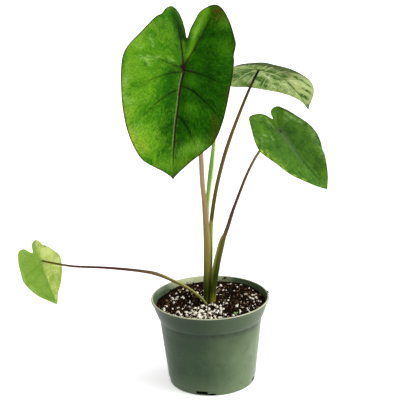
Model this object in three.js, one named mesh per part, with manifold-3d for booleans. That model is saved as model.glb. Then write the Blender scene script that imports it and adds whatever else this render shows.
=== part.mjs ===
// Potted cleopatra elephant ear: four leaves on long stalks and one rolled new leaf,
// in a round nursery pot filled with potting mix. Millimetres, +Z up, the pot's base
// centred on the origin.
import * as THREE from "three";
import { mergeVertices } from "three/addons/utils/BufferGeometryUtils.js";
import Module from "manifold-3d";

const wasm = await Module();
wasm.setup();

// pot
const potHeight = 114.3;
const rimRadius = 76.2;
const bandHeight = 91;
const bandRadius = 68;
const bodyTopRadius = 66.2;
const baseRadius = 56;
const wall = 1.3;
const footDepth = 2.6;
const slotWidth = 14;
const slotHeight = 3.4;
const slotAngle = -11;

// potting mix and the hole that the crown stands in
const soilHeight = 104;
const soilTilt = 0.05;
const crownX = 0;
const crownY = 6.5;
const crownRadius = 12.6;
const crownTop = 103;
const crownDepth = 32;
const gap = 0.35;
const lumpCount = 100;

// leaves
const bladeThickness = 0.7;

const degrees = Math.PI / 180;
const vec = (x, y, z) => new THREE.Vector3(x, y, z);

const toSolid = (geometry) => {
  const plain = geometry.index ? geometry.toNonIndexed() : geometry.clone();
  plain.deleteAttribute("normal");
  plain.deleteAttribute("uv");
  const merged = mergeVertices(plain, 1e-4);
  return new wasm.Manifold(
    new wasm.Mesh({
      numProp: 3,
      vertProperties: merged.attributes.position.array,
      triVerts: new Uint32Array(merged.index.array),
    }),
  );
};

const toGeometry = (solid) => {
  const made = solid.getMesh();
  const geometry = new THREE.BufferGeometry();
  geometry.setAttribute("position", new THREE.BufferAttribute(made.vertProperties, 3));
  geometry.setIndex(new THREE.BufferAttribute(made.triVerts, 1));
  geometry.computeVertexNormals();
  return geometry;
};

const fromTriangles = (points, faces) => {
  const geometry = new THREE.BufferGeometry();
  const flat = points.flatMap((p) => [p.x, p.y, p.z]);
  geometry.setAttribute("position", new THREE.Float32BufferAttribute(flat, 3));
  geometry.setIndex(faces);
  return geometry;
};

const seededRandom = (seed) => {
  let state = seed;
  return () => {
    state = (state * 1664525 + 1013904223) % 4294967296;
    return state / 4294967296;
  };
};

const group = new THREE.Group();
group.name = "potted_cleopatra_elephant_ear";

const add = (name, geometry, color, roughness) => {
  const material = new THREE.MeshStandardMaterial({ color, roughness, metalness: 0 });
  const mesh = new THREE.Mesh(geometry, material);
  mesh.name = name;
  group.add(mesh);
};

// The blade is laid out flat as u along the midrib towards the tip and v across it,
// with the stalk joining at 0, 0. It is then folded along the midrib, each half curls,
// and the midrib arches.
const bladeFrame = ({ facing, tilt, turn }) => {
  const f = facing * degrees;
  const t = tilt * degrees;
  const s = turn * degrees;
  const normal = vec(Math.sin(f) * Math.cos(t), -Math.cos(f) * Math.cos(t), Math.sin(t));
  const level = vec(Math.cos(f), Math.sin(f), 0);
  const down = level.clone().cross(normal);
  const tipward = down.multiplyScalar(Math.cos(s)).addScaledVector(level, Math.sin(s));
  const across = normal.clone().cross(tipward);
  return { normal, tipward, across };
};

const bladePoint = (leaf, frame, u, v, lift) => {
  const steps = 12;
  let along = 0;
  let drop = 0;
  for (let i = 0; i < steps; i += 1) {
    const at = (u * (i + 0.5)) / steps;
    const angle = leaf.arch * at + (leaf.archGrowth * at * Math.abs(at)) / 2;
    along += (Math.cos(angle) * u) / steps;
    drop -= (Math.sin(angle) * u) / steps;
  }
  const bend = leaf.arch * u + (leaf.archGrowth * u * Math.abs(u)) / 2;
  const side = v < 0 ? 0 : 1;
  const fold = leaf.fold[side];
  const curl = leaf.curl[side];
  const width = Math.abs(v);
  const flatAcross = ((Math.sin(fold) - Math.sin(fold - curl * width)) / curl) * Math.sign(v);
  const flatLift = (Math.cos(fold - curl * width) - Math.cos(fold)) / curl + lift;
  const twist = leaf.twist * u;
  const across = flatAcross * Math.cos(twist) - flatLift * Math.sin(twist);
  const raised = flatAcross * Math.sin(twist) + flatLift * Math.cos(twist);
  return leaf.joint
    .clone()
    .addScaledVector(frame.tipward, along + raised * Math.sin(bend))
    .addScaledVector(frame.normal, drop + raised * Math.cos(bend))
    .addScaledVector(frame.across, across);
};

// A gentle wave towards the margin, the same on both faces.
const bladeWave = (leaf, u, v, share) => {
  const around = Math.atan2(v, u);
  return leaf.wave * share * share * Math.sin(leaf.waves * around + leaf.wavePhase);
};

const makeBlade = (leaf) => {
  const frame = bladeFrame(leaf);
  const flat = new THREE.CatmullRomCurve3(
    leaf.outline.map(([u, v]) => vec(u, v, 0)),
    true,
    "centripetal",
  );
  const count = leaf.outline.length * leaf.splits;
  const margin = [];
  for (let i = 0; i < count; i += 1) {
    margin.push(flat.getPoint(i / count));
  }
  const place = (u, v, share, offset) => {
    const step = 0.5;
    const here = bladePoint(leaf, frame, u, v, bladeWave(leaf, u, v, share));
    const ahead = bladePoint(leaf, frame, u + step, v, bladeWave(leaf, u, v, share));
    const beside = bladePoint(leaf, frame, u, v + step, bladeWave(leaf, u, v, share));
    const back = bladePoint(leaf, frame, u, v - step, bladeWave(leaf, u, v, share));
    const up = ahead.sub(here).cross(beside.sub(back)).normalize();
    return here.addScaledVector(up, offset);
  };
  const points = [];
  const faces = [];
  const half = bladeThickness / 2;
  for (const offset of [half, -half]) {
    points.push(place(0, 0, 0, offset));
    for (let ring = 1; ring <= leaf.rings; ring += 1) {
      const share = ring / leaf.rings;
      margin.forEach((m) => points.push(place(m.x * share, m.y * share, share, offset)));
    }
  }
  const perFace = 1 + leaf.rings * count;
  const at = (face, ring, i) => face * perFace + 1 + (ring - 1) * count + (i % count);
  const push = (face, a, b, c) => {
    if (face === 0) faces.push(a, c, b);
    else faces.push(a, b, c);
  };
  for (const face of [0, 1]) {
    for (let i = 0; i < count; i += 1) {
      push(face, face * perFace, at(face, 1, i), at(face, 1, i + 1));
      for (let ring = 1; ring < leaf.rings; ring += 1) {
        push(face, at(face, ring, i), at(face, ring + 1, i), at(face, ring + 1, i + 1));
        push(face, at(face, ring, i), at(face, ring + 1, i + 1), at(face, ring, i + 1));
      }
    }
  }
  for (let i = 0; i < count; i += 1) {
    const topA = at(0, leaf.rings, i);
    const topB = at(0, leaf.rings, i + 1);
    const lowA = at(1, leaf.rings, i);
    const lowB = at(1, leaf.rings, i + 1);
    faces.push(topA, lowB, lowA, topA, topB, lowB);
  }
  return toSolid(fromTriangles(points, faces));
};

// A stalk is swept along its path. Where sheath is 1 its section is a gutter that clasps
// what grows inside it, where it is 0 the section is round.
const makeStalk = ({ path, open, sections, sides, spiral = 0 }) => {
  const curve = new THREE.CatmullRomCurve3(
    path.map((p) => vec(...p.at)),
    false,
    "centripetal",
  );
  const points = [];
  const faces = [];
  const last = path.length - 1;
  const ringSize = sides * 2;
  for (let i = 0; i <= sections; i += 1) {
    const t = i / sections;
    const index = Math.min(Math.floor(t * last), last - 1);
    const mix = t * last - index;
    const blend = (key) => (path[index][key] ?? 0) * (1 - mix) + (path[index + 1][key] ?? 0) * mix;
    const radius = blend("radius");
    const sheath = blend("sheath");
    const centre = curve.getPoint(t);
    const tangent = curve.getTangent(t);
    const backward = open.clone().addScaledVector(tangent, -open.dot(tangent)).normalize();
    const sideways = tangent.clone().cross(backward);
    const reach = (90 + 22 * sheath) * degrees;
    const ring = (forward, lateral) => {
      const p = centre.clone().addScaledVector(backward, -forward);
      points.push(p.addScaledVector(sideways, lateral));
    };
    for (let k = 0; k < sides; k += 1) {
      const angle = reach * ((2 * k) / (sides - 1) - 1);
      const grow = radius * (1 - spiral * (k / ringSize));
      ring(grow * Math.cos(angle), grow * Math.sin(angle));
    }
    for (let k = 0; k < sides; k += 1) {
      const share = 1 - (2 * (k + 1)) / (sides + 1);
      const angle = reach * share;
      const inner = radius * 0.72;
      const grow = radius * (1 - spiral * ((sides + k) / ringSize));
      const round = [-grow * Math.cos(90 * degrees * share), grow * Math.sin(90 * degrees * share)];
      const gutter = [inner * Math.cos(angle), inner * Math.sin(angle)];
      ring(
        round[0] * (1 - sheath) + gutter[0] * sheath,
        round[1] * (1 - sheath) + gutter[1] * sheath,
      );
    }
  }
  for (let i = 0; i < sections; i += 1) {
    for (let k = 0; k < ringSize; k += 1) {
      const a = i * ringSize + k;
      const b = i * ringSize + ((k + 1) % ringSize);
      faces.push(a, b + ringSize, b, a, a + ringSize, b + ringSize);
    }
  }
  // The ends are filled as strips between the outer and the inner run.
  for (const [start, flip] of [
    [0, true],
    [sections * ringSize, false],
  ]) {
    for (let k = 0; k < sides; k += 1) {
      const outerA = start + k;
      const innerA = start + ringSize - 1 - k;
      const outerB = start + k + 1;
      const innerB = start + ringSize - 2 - k;
      const tris = [[outerA, k === sides - 1 ? innerA : outerB, innerA]];
      if (k < sides - 1) tris.push([outerB, innerB, innerA]);
      tris
        .filter(([a, b, c]) => a !== b && b !== c && a !== c)
        .forEach(([a, b, c]) => (flip ? faces.push(a, b, c) : faces.push(a, c, b)));
    }
  }
  return toSolid(fromTriangles(points, faces));
};

// Everything above a blade's underside is cut away from its stalk.
const trimUnder = (stalk, leaf) => {
  const down = bladeFrame(leaf).normal.negate();
  const level = down.dot(leaf.joint) + bladeThickness / 2 + gap + 0.2;
  return stalk.trimByPlane([down.x, down.y, down.z], level);
};

const trimAbove = (stalk, height) => stalk.trimByPlane([0, 0, 1], height);

const leafFront = {
  joint: vec(-23.8, -45, 424.5),
  facing: 0,
  tilt: 25,
  turn: -7,
  arch: 0.0022,
  archGrowth: 0,
  fold: [0.22, 0.22],
  curl: [0.0035, 0.0035],
  twist: 0,
  wave: 0.8,
  waves: 7,
  wavePhase: 0.6,
  rings: 7,
  splits: 2,
  outline: [
    [132.5, 0],
    [126, -10.5],
    [114, -37],
    [105, -45.5],
    [88, -55.5],
    [70, -62.5],
    [43, -69],
    [6, -73],
    [-9, -71.5],
    [-19, -67],
    [-40, -51.5],
    [-57, -38],
    [-61.5, -32],
    [-68, -28.5],
    [-72.5, -22],
    [-70, -16],
    [-61, -9],
    [-47, -3],
    [-35.5, 0.7],
    [-47.5, 3.8],
    [-58, 8],
    [-68, 12.5],
    [-73.5, 18.5],
    [-78, 27],
    [-78, 33.5],
    [-74, 39.5],
    [-60, 49],
    [-40, 57],
    [-31, 59.5],
    [-16, 58.3],
    [-11, 59.3],
    [12, 58.5],
    [40, 56],
    [60, 53],
    [78, 48],
    [87, 43.5],
    [98, 33],
    [109, 21],
    [124.5, 6.4],
  ],
};

const leafBack = {
  joint: vec(69.7, 50, 399.1),
  facing: 154.5,
  tilt: 72,
  turn: -27,
  arch: 0.005,
  archGrowth: 0.000095,
  fold: [0.3, -0.04],
  curl: [0.0119, 0.016],
  twist: 0.001,
  wave: 0.8,
  waves: 6,
  wavePhase: 1.1,
  rings: 7,
  splits: 2,
  outline: [
    [101.6, 0],
    [94, -5],
    [81, -19],
    [67, -32],
    [51, -43],
    [30, -50],
    [9, -52.5],
    [-5, -52.5],
    [-19, -48],
    [-31, -40],
    [-43, -29],
    [-48, -19],
    [-46, -11],
    [-36, -4.5],
    [-25, 0],
    [-36, 5],
    [-46, 11.5],
    [-48, 19],
    [-42, 29],
    [-30, 39],
    [-18, 46],
    [-5, 50],
    [10, 50.5],
    [31, 47.5],
    [51, 40.5],
    [68, 30],
    [82, 17.5],
    [95, 4.5],
  ],
};

const leafRight = {
  joint: vec(92.5, 0, 331.3),
  facing: 29,
  tilt: 34,
  turn: 32,
  arch: 0.004,
  archGrowth: 0,
  fold: [0.15, 0.15],
  curl: [0.005, 0.005],
  twist: 0,
  wave: 0.7,
  waves: 6,
  wavePhase: 2.2,
  rings: 6,
  splits: 2,
  outline: [
    [95.2, 0],
    [81, -13],
    [62.5, -24.5],
    [46, -33],
    [26, -39],
    [7.5, -42.8],
    [-3.5, -43],
    [-18, -36.5],
    [-31, -26],
    [-39.7, -16.4],
    [-38.8, -11],
    [-33, -1.5],
    [-26, 2.4],
    [-17, 5],
    [-21.5, 7.6],
    [-25.2, 11.4],
    [-26.3, 16],
    [-25, 21.3],
    [-22, 24.8],
    [-16.5, 26.7],
    [0, 32.8],
    [19, 37.3],
    [34, 37.3],
    [46.4, 33.9],
    [54, 29.3],
    [61, 27.2],
    [74, 19.2],
    [86, 10],
  ],
};

const leafLow = {
  joint: vec(-218.6, 30, 158.5),
  facing: -156,
  tilt: 8,
  turn: -15.5,
  arch: 0.003,
  archGrowth: 0,
  fold: [0.12, 0.12],
  curl: [0.004, 0.004],
  twist: 0,
  wave: 0.5,
  waves: 5,
  wavePhase: 0.4,
  rings: 5,
  splits: 2,
  outline: [
    [67.6, 0],
    [54.5, -6.7],
    [40.5, -15.8],
    [25, -22.7],
    [12.4, -25.5],
    [3, -25.2],
    [-10.7, -17.7],
    [-18.6, -12],
    [-22, -8.2],
    [-26, -7.5],
    [-33.5, -1.6],
    [-29, 4.3],
    [-15.6, 7],
    [-20.5, 11.2],
    [-26, 15.8],
    [-26, 22.5],
    [-13.5, 27.7],
    [5, 29.6],
    [18.5, 30.6],
    [35, 25.4],
    [47.6, 18.4],
    [55.2, 11.7],
  ],
};

// pot: a lathed shell with a step under its rim band and slots round its base
const potProfile = [
  [0, 0],
  [34, 0],
  [37, footDepth],
  [48.5, footDepth],
  [51, 0],
  [54.6, 0],
  [baseRadius, 1.4],
  [baseRadius + 0.9, 8],
  [bodyTopRadius, bandHeight - 1.6],
  [bandRadius - 0.6, bandHeight - 1],
  [bandRadius, bandHeight],
  [rimRadius - 1.1, potHeight - 2.8],
  [rimRadius, potHeight - 2.2],
  [rimRadius, potHeight - 0.6],
  [rimRadius - 0.6, potHeight],
  [rimRadius - 2.2, potHeight],
  [rimRadius - 2.7, potHeight - 0.6],
  [bandRadius - wall, bandHeight + 0.6],
  [bodyTopRadius - wall, bandHeight - 1.4],
  [baseRadius + 0.9 - wall, 8.6],
  [baseRadius - 2, footDepth + 1.8],
  [36, footDepth + 1.8],
  [33, 1.8],
  [0, 1.8],
];
let pot = toSolid(
  new THREE.LatheGeometry(
    potProfile.map(([r, z]) => new THREE.Vector2(r, z)),
    64,
  ).rotateX(Math.PI / 2),
);
for (let i = 0; i < 4; i += 1) {
  const slot = new THREE.BoxGeometry(slotWidth, 14, slotHeight);
  slot.translate(0, -(baseRadius - 3), 1.3 + slotHeight / 2);
  slot.rotateZ((slotAngle + i * 90) * degrees);
  pot = pot.subtract(toSolid(slot));
}
add("pot", toGeometry(pot), 0x48624a, 0.42);

// potting mix: fills the pot, a little higher at the back right, with lumps on top
const soilTop = (x, y) => {
  const swell = Math.sin(x / 13 + 1) * Math.cos(y / 17) + 0.6 * Math.sin((x + y) / 9);
  return soilHeight + soilTilt * (x * 0.5 + y) + 0.8 * swell;
};
const innerRadius = (z) => {
  const low = [baseRadius + 0.9 - wall, 8.6];
  const step = [bodyTopRadius - wall, bandHeight - 1.4];
  const ledge = [bandRadius - wall, bandHeight + 0.6];
  const top = [rimRadius - 2.7, potHeight - 0.6];
  const [a, b] = z < step[1] ? [low, step] : [ledge, top];
  return a[0] + ((b[0] - a[0]) * (z - a[1])) / (b[1] - a[1]);
};
const soilSides = 48;
const soilPoints = [];
const soilFaces = [];
const soilRims = [
  [0, footDepth + 2.2],
  [baseRadius - 2.8, footDepth + 2.2],
  [innerRadius(10) - 0.7, 10],
  [innerRadius(bandHeight - 1.6) - 0.8, bandHeight - 0.5],
  [innerRadius(bandHeight + 2) - 0.6, bandHeight + 3],
];
const soilShares = [1, 0.88, 0.75, 0.6, 0.45, 0.3];
soilPoints.push(vec(0, 0, soilRims[0][1]));
for (const [radius, z] of soilRims.slice(1)) {
  for (let i = 0; i < soilSides; i += 1) {
    const angle = (i * 2 * Math.PI) / soilSides;
    soilPoints.push(vec(radius * Math.cos(angle), radius * Math.sin(angle), z));
  }
}
for (const share of soilShares) {
  for (let i = 0; i < soilSides; i += 1) {
    const angle = (i * 2 * Math.PI) / soilSides;
    const rimTop = soilTop(70 * Math.cos(angle), 70 * Math.sin(angle));
    const edge = innerRadius(rimTop) - 0.6;
    const x = edge * share * Math.cos(angle);
    const y = edge * share * Math.sin(angle);
    soilPoints.push(vec(x, y, soilTop(x, y)));
  }
}
soilPoints.push(vec(0, 0, soilTop(0, 0)));
const soilRings = soilRims.length - 1 + soilShares.length;
for (let i = 0; i < soilSides; i += 1) {
  const next = (i + 1) % soilSides;
  soilFaces.push(0, 1 + next, 1 + i);
  for (let ring = 0; ring < soilRings - 1; ring += 1) {
    const a = 1 + ring * soilSides;
    const b = a + soilSides;
    soilFaces.push(a + i, a + next, b + next, a + i, b + next, b + i);
  }
  const top = 1 + (soilRings - 1) * soilSides;
  soilFaces.push(top + i, top + next, soilPoints.length - 1);
}
let soil = toSolid(fromTriangles(soilPoints, soilFaces));
const random = seededRandom(11);
const lumps = [];
for (let i = 0; i < lumpCount; i += 1) {
  const angle = random() * 2 * Math.PI;
  const distance = 18 + 46 * Math.sqrt(random());
  const x = distance * Math.cos(angle);
  const y = distance * Math.sin(angle) + 2;
  const size = 1.3 + 1.5 * random();
  const lump = new THREE.OctahedronGeometry(size, 0);
  lump.scale(1 + 0.6 * random(), 1, 0.75);
  lump.rotateX(random());
  lump.rotateZ(random() * Math.PI);
  lump.translate(x, y, soilTop(x, y) + 0.25 * size);
  if (Math.hypot(x, y) < 64) lumps.push(toSolid(lump));
}
soil = wasm.Manifold.union([soil, ...lumps]);
const holeProfile = [
  [0, crownTop - crownDepth - gap],
  [crownRadius - 5 + gap, crownTop - crownDepth - gap],
  [crownRadius - 2.1 + gap, crownTop - crownDepth * 0.66],
  [crownRadius - 0.7 + gap, crownTop - crownDepth * 0.33],
  [crownRadius + gap, crownTop - 1],
  [crownRadius + gap, crownTop + 20],
  [0, crownTop + 20],
];
const crownHole = new THREE.LatheGeometry(
  holeProfile.map(([r, z]) => new THREE.Vector2(r, z)),
  28,
).rotateX(Math.PI / 2);
soil = soil.subtract(toSolid(crownHole.translate(crownX, crownY, 0)));
const sproutAt = [32, -36];
const sproutHole = new THREE.CylinderGeometry(1.1, 1.1, 16, 10).rotateX(Math.PI / 2);
sproutHole.translate(sproutAt[0], sproutAt[1], soilTop(...sproutAt));
soil = soil.subtract(toSolid(sproutHole));
const soilBody = soil.decompose().sort((a, b) => b.volume() - a.volume())[0];
add("soil", toGeometry(soilBody), 0x2c1c12, 0.95);

// crown: the tuber that all the stalks grow from, sunk in the mix
const crownProfile = [
  [0, crownTop - crownDepth],
  [crownRadius - 5.2, crownTop - crownDepth],
  [crownRadius - 2.4, crownTop - crownDepth * 0.66],
  [crownRadius - 1, crownTop - crownDepth * 0.33],
  [crownRadius - 0.6, crownTop - 1],
  [crownRadius - 1.6, crownTop],
  [0, crownTop],
];
const crown = new THREE.LatheGeometry(
  crownProfile.map(([r, z]) => new THREE.Vector2(r, z)),
  28,
).rotateX(Math.PI / 2);
add("corm", crown.translate(crownX, crownY, 0), 0x5a4630, 0.9);

// stalks, each from the crown up to the underside of its blade
const stalkFloor = crownTop + gap;
const front = makeStalk({
  open: vec(0, 1, 0),
  sections: 30,
  sides: 7,
  path: [
    { at: [-4.4, 8, 97], radius: 4.2, sheath: 1 },
    { at: [-4, 8, 120], radius: 4.5, sheath: 1 },
    { at: [-3, 8, 145], radius: 4.6, sheath: 1 },
    { at: [-2.2, 8, 170], radius: 4.5, sheath: 1 },
    { at: [-2.1, 7.6, 195], radius: 4.3, sheath: 0.9 },
    { at: [-3, 3.6, 222], radius: 3.6, sheath: 0.1 },
    { at: [-4, 0, 245], radius: 3.2, sheath: 0 },
    { at: [-5.6, -4, 268], radius: 3.1, sheath: 0 },
    { at: [-6.3, -10, 300], radius: 3.1, sheath: 0 },
    { at: [-7.4, -17, 330], radius: 3, sheath: 0 },
    { at: [-11, -26, 362], radius: 2.9, sheath: 0 },
    { at: [-17, -37, 398], radius: 2.7, sheath: 0 },
    { at: [-26, -48.5, 431], radius: 2.5, sheath: 0 },
  ],
});
const back = makeStalk({
  open: vec(0, 1, 0),
  sections: 28,
  sides: 6,
  path: [
    { at: [-0.6, 15.2, 97], radius: 2.8, sheath: 0 },
    { at: [0.2, 15.2, 130], radius: 3, sheath: 0 },
    { at: [1.8, 15.2, 165], radius: 3, sheath: 0 },
    { at: [3, 15.2, 197], radius: 2.8, sheath: 0 },
    { at: [5, 15.4, 217], radius: 2.6, sheath: 0 },
    { at: [12.4, 18, 257.4], radius: 2.5, sheath: 0 },
    { at: [25.4, 23, 303], radius: 2.3, sheath: 0 },
    { at: [43, 32, 347], radius: 2.1, sheath: 0 },
    { at: [60.8, 44, 384.4], radius: 1.9, sheath: 0 },
    { at: [72.5, 52, 404], radius: 1.8, sheath: 0 },
  ],
});
const right = makeStalk({
  open: vec(-0.75, 0.66, 0),
  sections: 30,
  sides: 6,
  path: [
    { at: [3.5, 3.8, 97], radius: 4, sheath: 0.8 },
    { at: [4.9, 4.4, 118], radius: 4, sheath: 0.9 },
    { at: [7.3, 5.4, 139], radius: 4, sheath: 1 },
    { at: [10.6, 6.6, 158], radius: 4.1, sheath: 1 },
    { at: [14.6, 7.4, 177], radius: 4.1, sheath: 0.9 },
    { at: [19, 7.5, 191], radius: 3.5, sheath: 0.6 },
    { at: [23.3, 7.1, 204], radius: 2.2, sheath: 0 },
    { at: [35.1, 6, 236.6], radius: 1.9, sheath: 0 },
    { at: [54.2, 6, 283.4], radius: 1.7, sheath: 0 },
    { at: [69.8, 5, 309.2], radius: 1.6, sheath: 0 },
    { at: [95, -1, 334.5], radius: 1.5, sheath: 0 },
  ],
});
const low = makeStalk({
  open: vec(0.7, 0.1, 0.7),
  sections: 30,
  sides: 6,
  path: [
    { at: [-1.4, -0.8, 99], radius: 2.2, sheath: 0.3 },
    { at: [-9.4, -1.6, 111.8], radius: 2.4, sheath: 0.5 },
    { at: [-27.8, 1, 127], radius: 2.8, sheath: 0.5 },
    { at: [-47.9, 4, 137.5], radius: 3.1, sheath: 0.4 },
    { at: [-68.1, 7, 145], radius: 2.6, sheath: 0.1 },
    { at: [-88.6, 10, 148.3], radius: 2, sheath: 0 },
    { at: [-133.6, 18, 151.1], radius: 1.6, sheath: 0 },
    { at: [-179.5, 25, 152.2], radius: 1.4, sheath: 0 },
    { at: [-222, 31, 159.2], radius: 1.3, sheath: 0 },
  ],
});
const spear = makeStalk({
  open: vec(0, 1, 0),
  sections: 28,
  sides: 7,
  spiral: 0.12,
  path: [
    { at: [-4.4, 8.3, 97], radius: 2.1, sheath: 0 },
    { at: [-3, 8.3, 145], radius: 2.2, sheath: 0 },
    { at: [-2.1, 8.9, 190], radius: 2.1, sheath: 0 },
    { at: [-2, 10, 215], radius: 2, sheath: 0 },
    { at: [-1.2, 10.6, 233], radius: 2.1, sheath: 0 },
    { at: [1.8, 10.4, 256], radius: 2.9, sheath: 0 },
    { at: [4.6, 10, 273.5], radius: 3.6, sheath: 0 },
    { at: [7.2, 9.4, 292], radius: 3.3, sheath: 0 },
    { at: [10.4, 8.6, 318], radius: 2.5, sheath: 0 },
    { at: [14.8, 7, 350], radius: 0.6, sheath: 0 },
  ],
});

const leaves = [
  ["leaf_front", leafFront, front, 0x3f8420, 0x8a7448],
  ["leaf_back", leafBack, back, 0x6f9a4a, 0x6b6a22],
  ["leaf_right", leafRight, right, 0x3a7a22, 0x4b3420],
  ["leaf_low", leafLow, low, 0x86b84c, 0x8a5c46],
];
for (const [name, leaf, stalk, bladeColor, stalkColor] of leaves) {
  add(`${name}_blade`, toGeometry(makeBlade(leaf)), bladeColor, 0.5);
  const trimmed = trimAbove(trimUnder(stalk, leaf), stalkFloor);
  add(`${name}_stalk`, toGeometry(trimmed), stalkColor, 0.45);
}
add("rolled_leaf", toGeometry(trimAbove(spear, stalkFloor)), 0x8fbf4c, 0.5);

// a small two-leaved sprout that came up in the mix by the front of the rim
const sproutBase = soilTop(...sproutAt) - 6;
const sproutStem = new THREE.CylinderGeometry(0.6, 0.7, 9, 8).rotateX(Math.PI / 2);
sproutStem.translate(sproutAt[0], sproutAt[1], sproutBase + 4.5);
let sprout = toSolid(sproutStem);
for (const [turn, lean] of [
  [10, 0.35],
  [175, 0.3],
]) {
  const leaflet = new THREE.SphereGeometry(1, 10, 6);
  leaflet.scale(2.2, 1.5, 0.4);
  leaflet.translate(2, 0, 0);
  leaflet.rotateY(-lean);
  leaflet.rotateZ(turn * degrees);
  leaflet.translate(sproutAt[0], sproutAt[1], sproutBase + 8.8);
  sprout = sprout.add(toSolid(leaflet));
}
add("sprout", toGeometry(sprout), 0x8cc25a, 0.6);

export default group;
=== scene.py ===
import math

import bmesh
import bpy
import numpy as np
from mathutils import Matrix, Vector, noise


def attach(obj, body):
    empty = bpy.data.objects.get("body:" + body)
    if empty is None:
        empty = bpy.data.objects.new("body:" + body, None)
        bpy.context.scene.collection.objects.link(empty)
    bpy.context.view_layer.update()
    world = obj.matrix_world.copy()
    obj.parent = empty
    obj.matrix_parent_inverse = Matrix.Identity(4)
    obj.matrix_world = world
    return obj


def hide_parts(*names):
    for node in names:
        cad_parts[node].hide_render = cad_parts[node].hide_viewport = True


# Potted cleopatra elephant ear: four heart-shaped leaves on long stalks and one rolled
# new leaf in a green nursery pot. The forms are laid out in millimetres, as on the
# drawing, and each mesh is turned into metres when it is made.

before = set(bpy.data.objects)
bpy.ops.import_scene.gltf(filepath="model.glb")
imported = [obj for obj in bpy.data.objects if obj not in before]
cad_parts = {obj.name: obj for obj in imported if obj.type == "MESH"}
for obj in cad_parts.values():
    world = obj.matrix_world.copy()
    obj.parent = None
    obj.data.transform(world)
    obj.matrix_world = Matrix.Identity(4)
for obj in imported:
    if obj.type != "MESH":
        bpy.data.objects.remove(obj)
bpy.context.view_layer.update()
mm = 0.001


# meshes

def makePiece(name, points, faces, materials, attributes=None, uvs=None):
    mesh = bpy.data.meshes.new(name)
    mesh.from_pydata((np.asarray(points) * mm).tolist(), [], faces)
    for material in materials:
        mesh.materials.append(material)
    for key, values in (attributes or {}).items():
        layer = mesh.attributes.new(key, "FLOAT", "POINT")
        layer.data.foreach_set("value", np.asarray(values, np.float32))
    if uvs is not None:
        layer = mesh.uv_layers.new(name="UVMap")
        corners = np.zeros(len(mesh.loops), np.int32)
        mesh.loops.foreach_get("vertex_index", corners)
        layer.data.foreach_set("uv", np.asarray(uvs, np.float32)[corners].ravel())
    mesh.polygons.foreach_set("use_smooth", [True] * len(mesh.polygons))
    mesh.update()
    return addObject(name, mesh)


def addObject(name, data):
    made = bpy.data.objects.new(name, data)
    bpy.context.scene.collection.objects.link(made)
    return made


def meshFrom(name, shape):
    # what bmesh holds, as a mesh
    mesh = bpy.data.meshes.new(name)
    shape.to_mesh(mesh)
    shape.free()
    return mesh


def settle(piece):
    # the modifiers' result becomes the piece's own plain mesh
    bpy.context.view_layer.update()
    graph = bpy.context.evaluated_depsgraph_get()
    made = bpy.data.meshes.new_from_object(piece.evaluated_get(graph))
    piece.modifiers.clear()
    piece.data = made
    made.name = piece.name
    return piece


def joinPieces(pieces):
    bpy.ops.object.select_all(action="DESELECT")
    for piece in pieces:
        piece.select_set(True)
    bpy.context.view_layer.objects.active = pieces[0]
    bpy.ops.object.join()
    return pieces[0]


def smoothPath(points, shares, closed=False):
    # centripetal curve through the points, each share from 0 to 1 along them
    points = np.asarray(points, float)
    count = len(points)
    at = np.asarray(shares, float) * (count if closed else count - 1)
    first = np.minimum(np.floor(at).astype(int), count - 1 if closed else count - 2)
    mix = (at - first)[:, None]
    if closed:
        p0, p1, p2, p3 = (points[(first + k) % count] for k in (-1, 0, 1, 2))
    else:
        longer = np.vstack([2 * points[0] - points[1], points, 2 * points[-1] - points[-2]])
        p0, p1, p2, p3 = (longer[first + k] for k in (0, 1, 2, 3))
    d0, d1, d2 = (
        np.maximum(np.linalg.norm(b - a, axis=1), 1e-6)[:, None] ** 0.5
        for a, b in ((p0, p1), (p1, p2), (p2, p3))
    )
    leave = ((p1 - p0) / d0 - (p2 - p0) / (d0 + d1) + (p2 - p1) / d1) * d1
    reach = ((p2 - p1) / d1 - (p3 - p1) / (d1 + d2) + (p3 - p2) / d2) * d1
    square = 3 * (p2 - p1) - 2 * leave - reach
    cube = 2 * (p1 - p2) + leave + reach
    return p1 + leave * mix + square * mix**2 + cube * mix**3


def unit(vectors):
    return vectors / np.maximum(np.linalg.norm(vectors, axis=-1, keepdims=True), 1e-9)


# materials

def rgb(red, green, blue):
    # a colour as a screen shows it, 0 to 255, turned into what the shader takes
    linear = [
        c / 255 / 12.92 if c < 10.3 else ((c / 255 + 0.055) / 1.055) ** 2.4
        for c in (red, green, blue)
    ]
    return (*linear, 1.0)


def addNode(tree, kind, inputs=None, **settings):
    made = tree.nodes.new(kind)
    for key, value in settings.items():
        setattr(made, key, value)
    for key, value in (inputs or {}).items():
        if isinstance(value, bpy.types.NodeSocket):
            tree.links.new(value, made.inputs[key])
        else:
            made.inputs[key].default_value = value
    return made


def blendColor(tree, factor, first, second, kind="MIX"):
    inputs = {0: factor, 6: first, 7: second}
    return addNode(tree, "ShaderNodeMix", inputs, data_type="RGBA", blend_type=kind).outputs[2]


def sums(tree, operation, first, second, clamp=False):
    inputs = {0: first, 1: second}
    return addNode(tree, "ShaderNodeMath", inputs, operation=operation, use_clamp=clamp).outputs[0]


def times(tree, first, second, clamp=False):
    return sums(tree, "MULTIPLY", first, second, clamp)


def plus(tree, first, second):
    return sums(tree, "ADD", first, second)


def layered(tree, color, look, layers):
    # colours of the look laid over one another, each with its share
    for share, name in layers:
        color = blendColor(tree, share, color, look[name])
    return color


def colorRamp(tree, factor, stops):
    made = addNode(tree, "ShaderNodeValToRGB", {0: factor})
    elements = made.color_ramp.elements
    elements[0].position = stops[0][0]
    elements[1].position = stops[-1][0]
    for position, _ in stops[1:-1]:
        elements.new(position)
    for element, (_, color) in zip(elements, stops):
        element.color = color
    return made.outputs[0]


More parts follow.
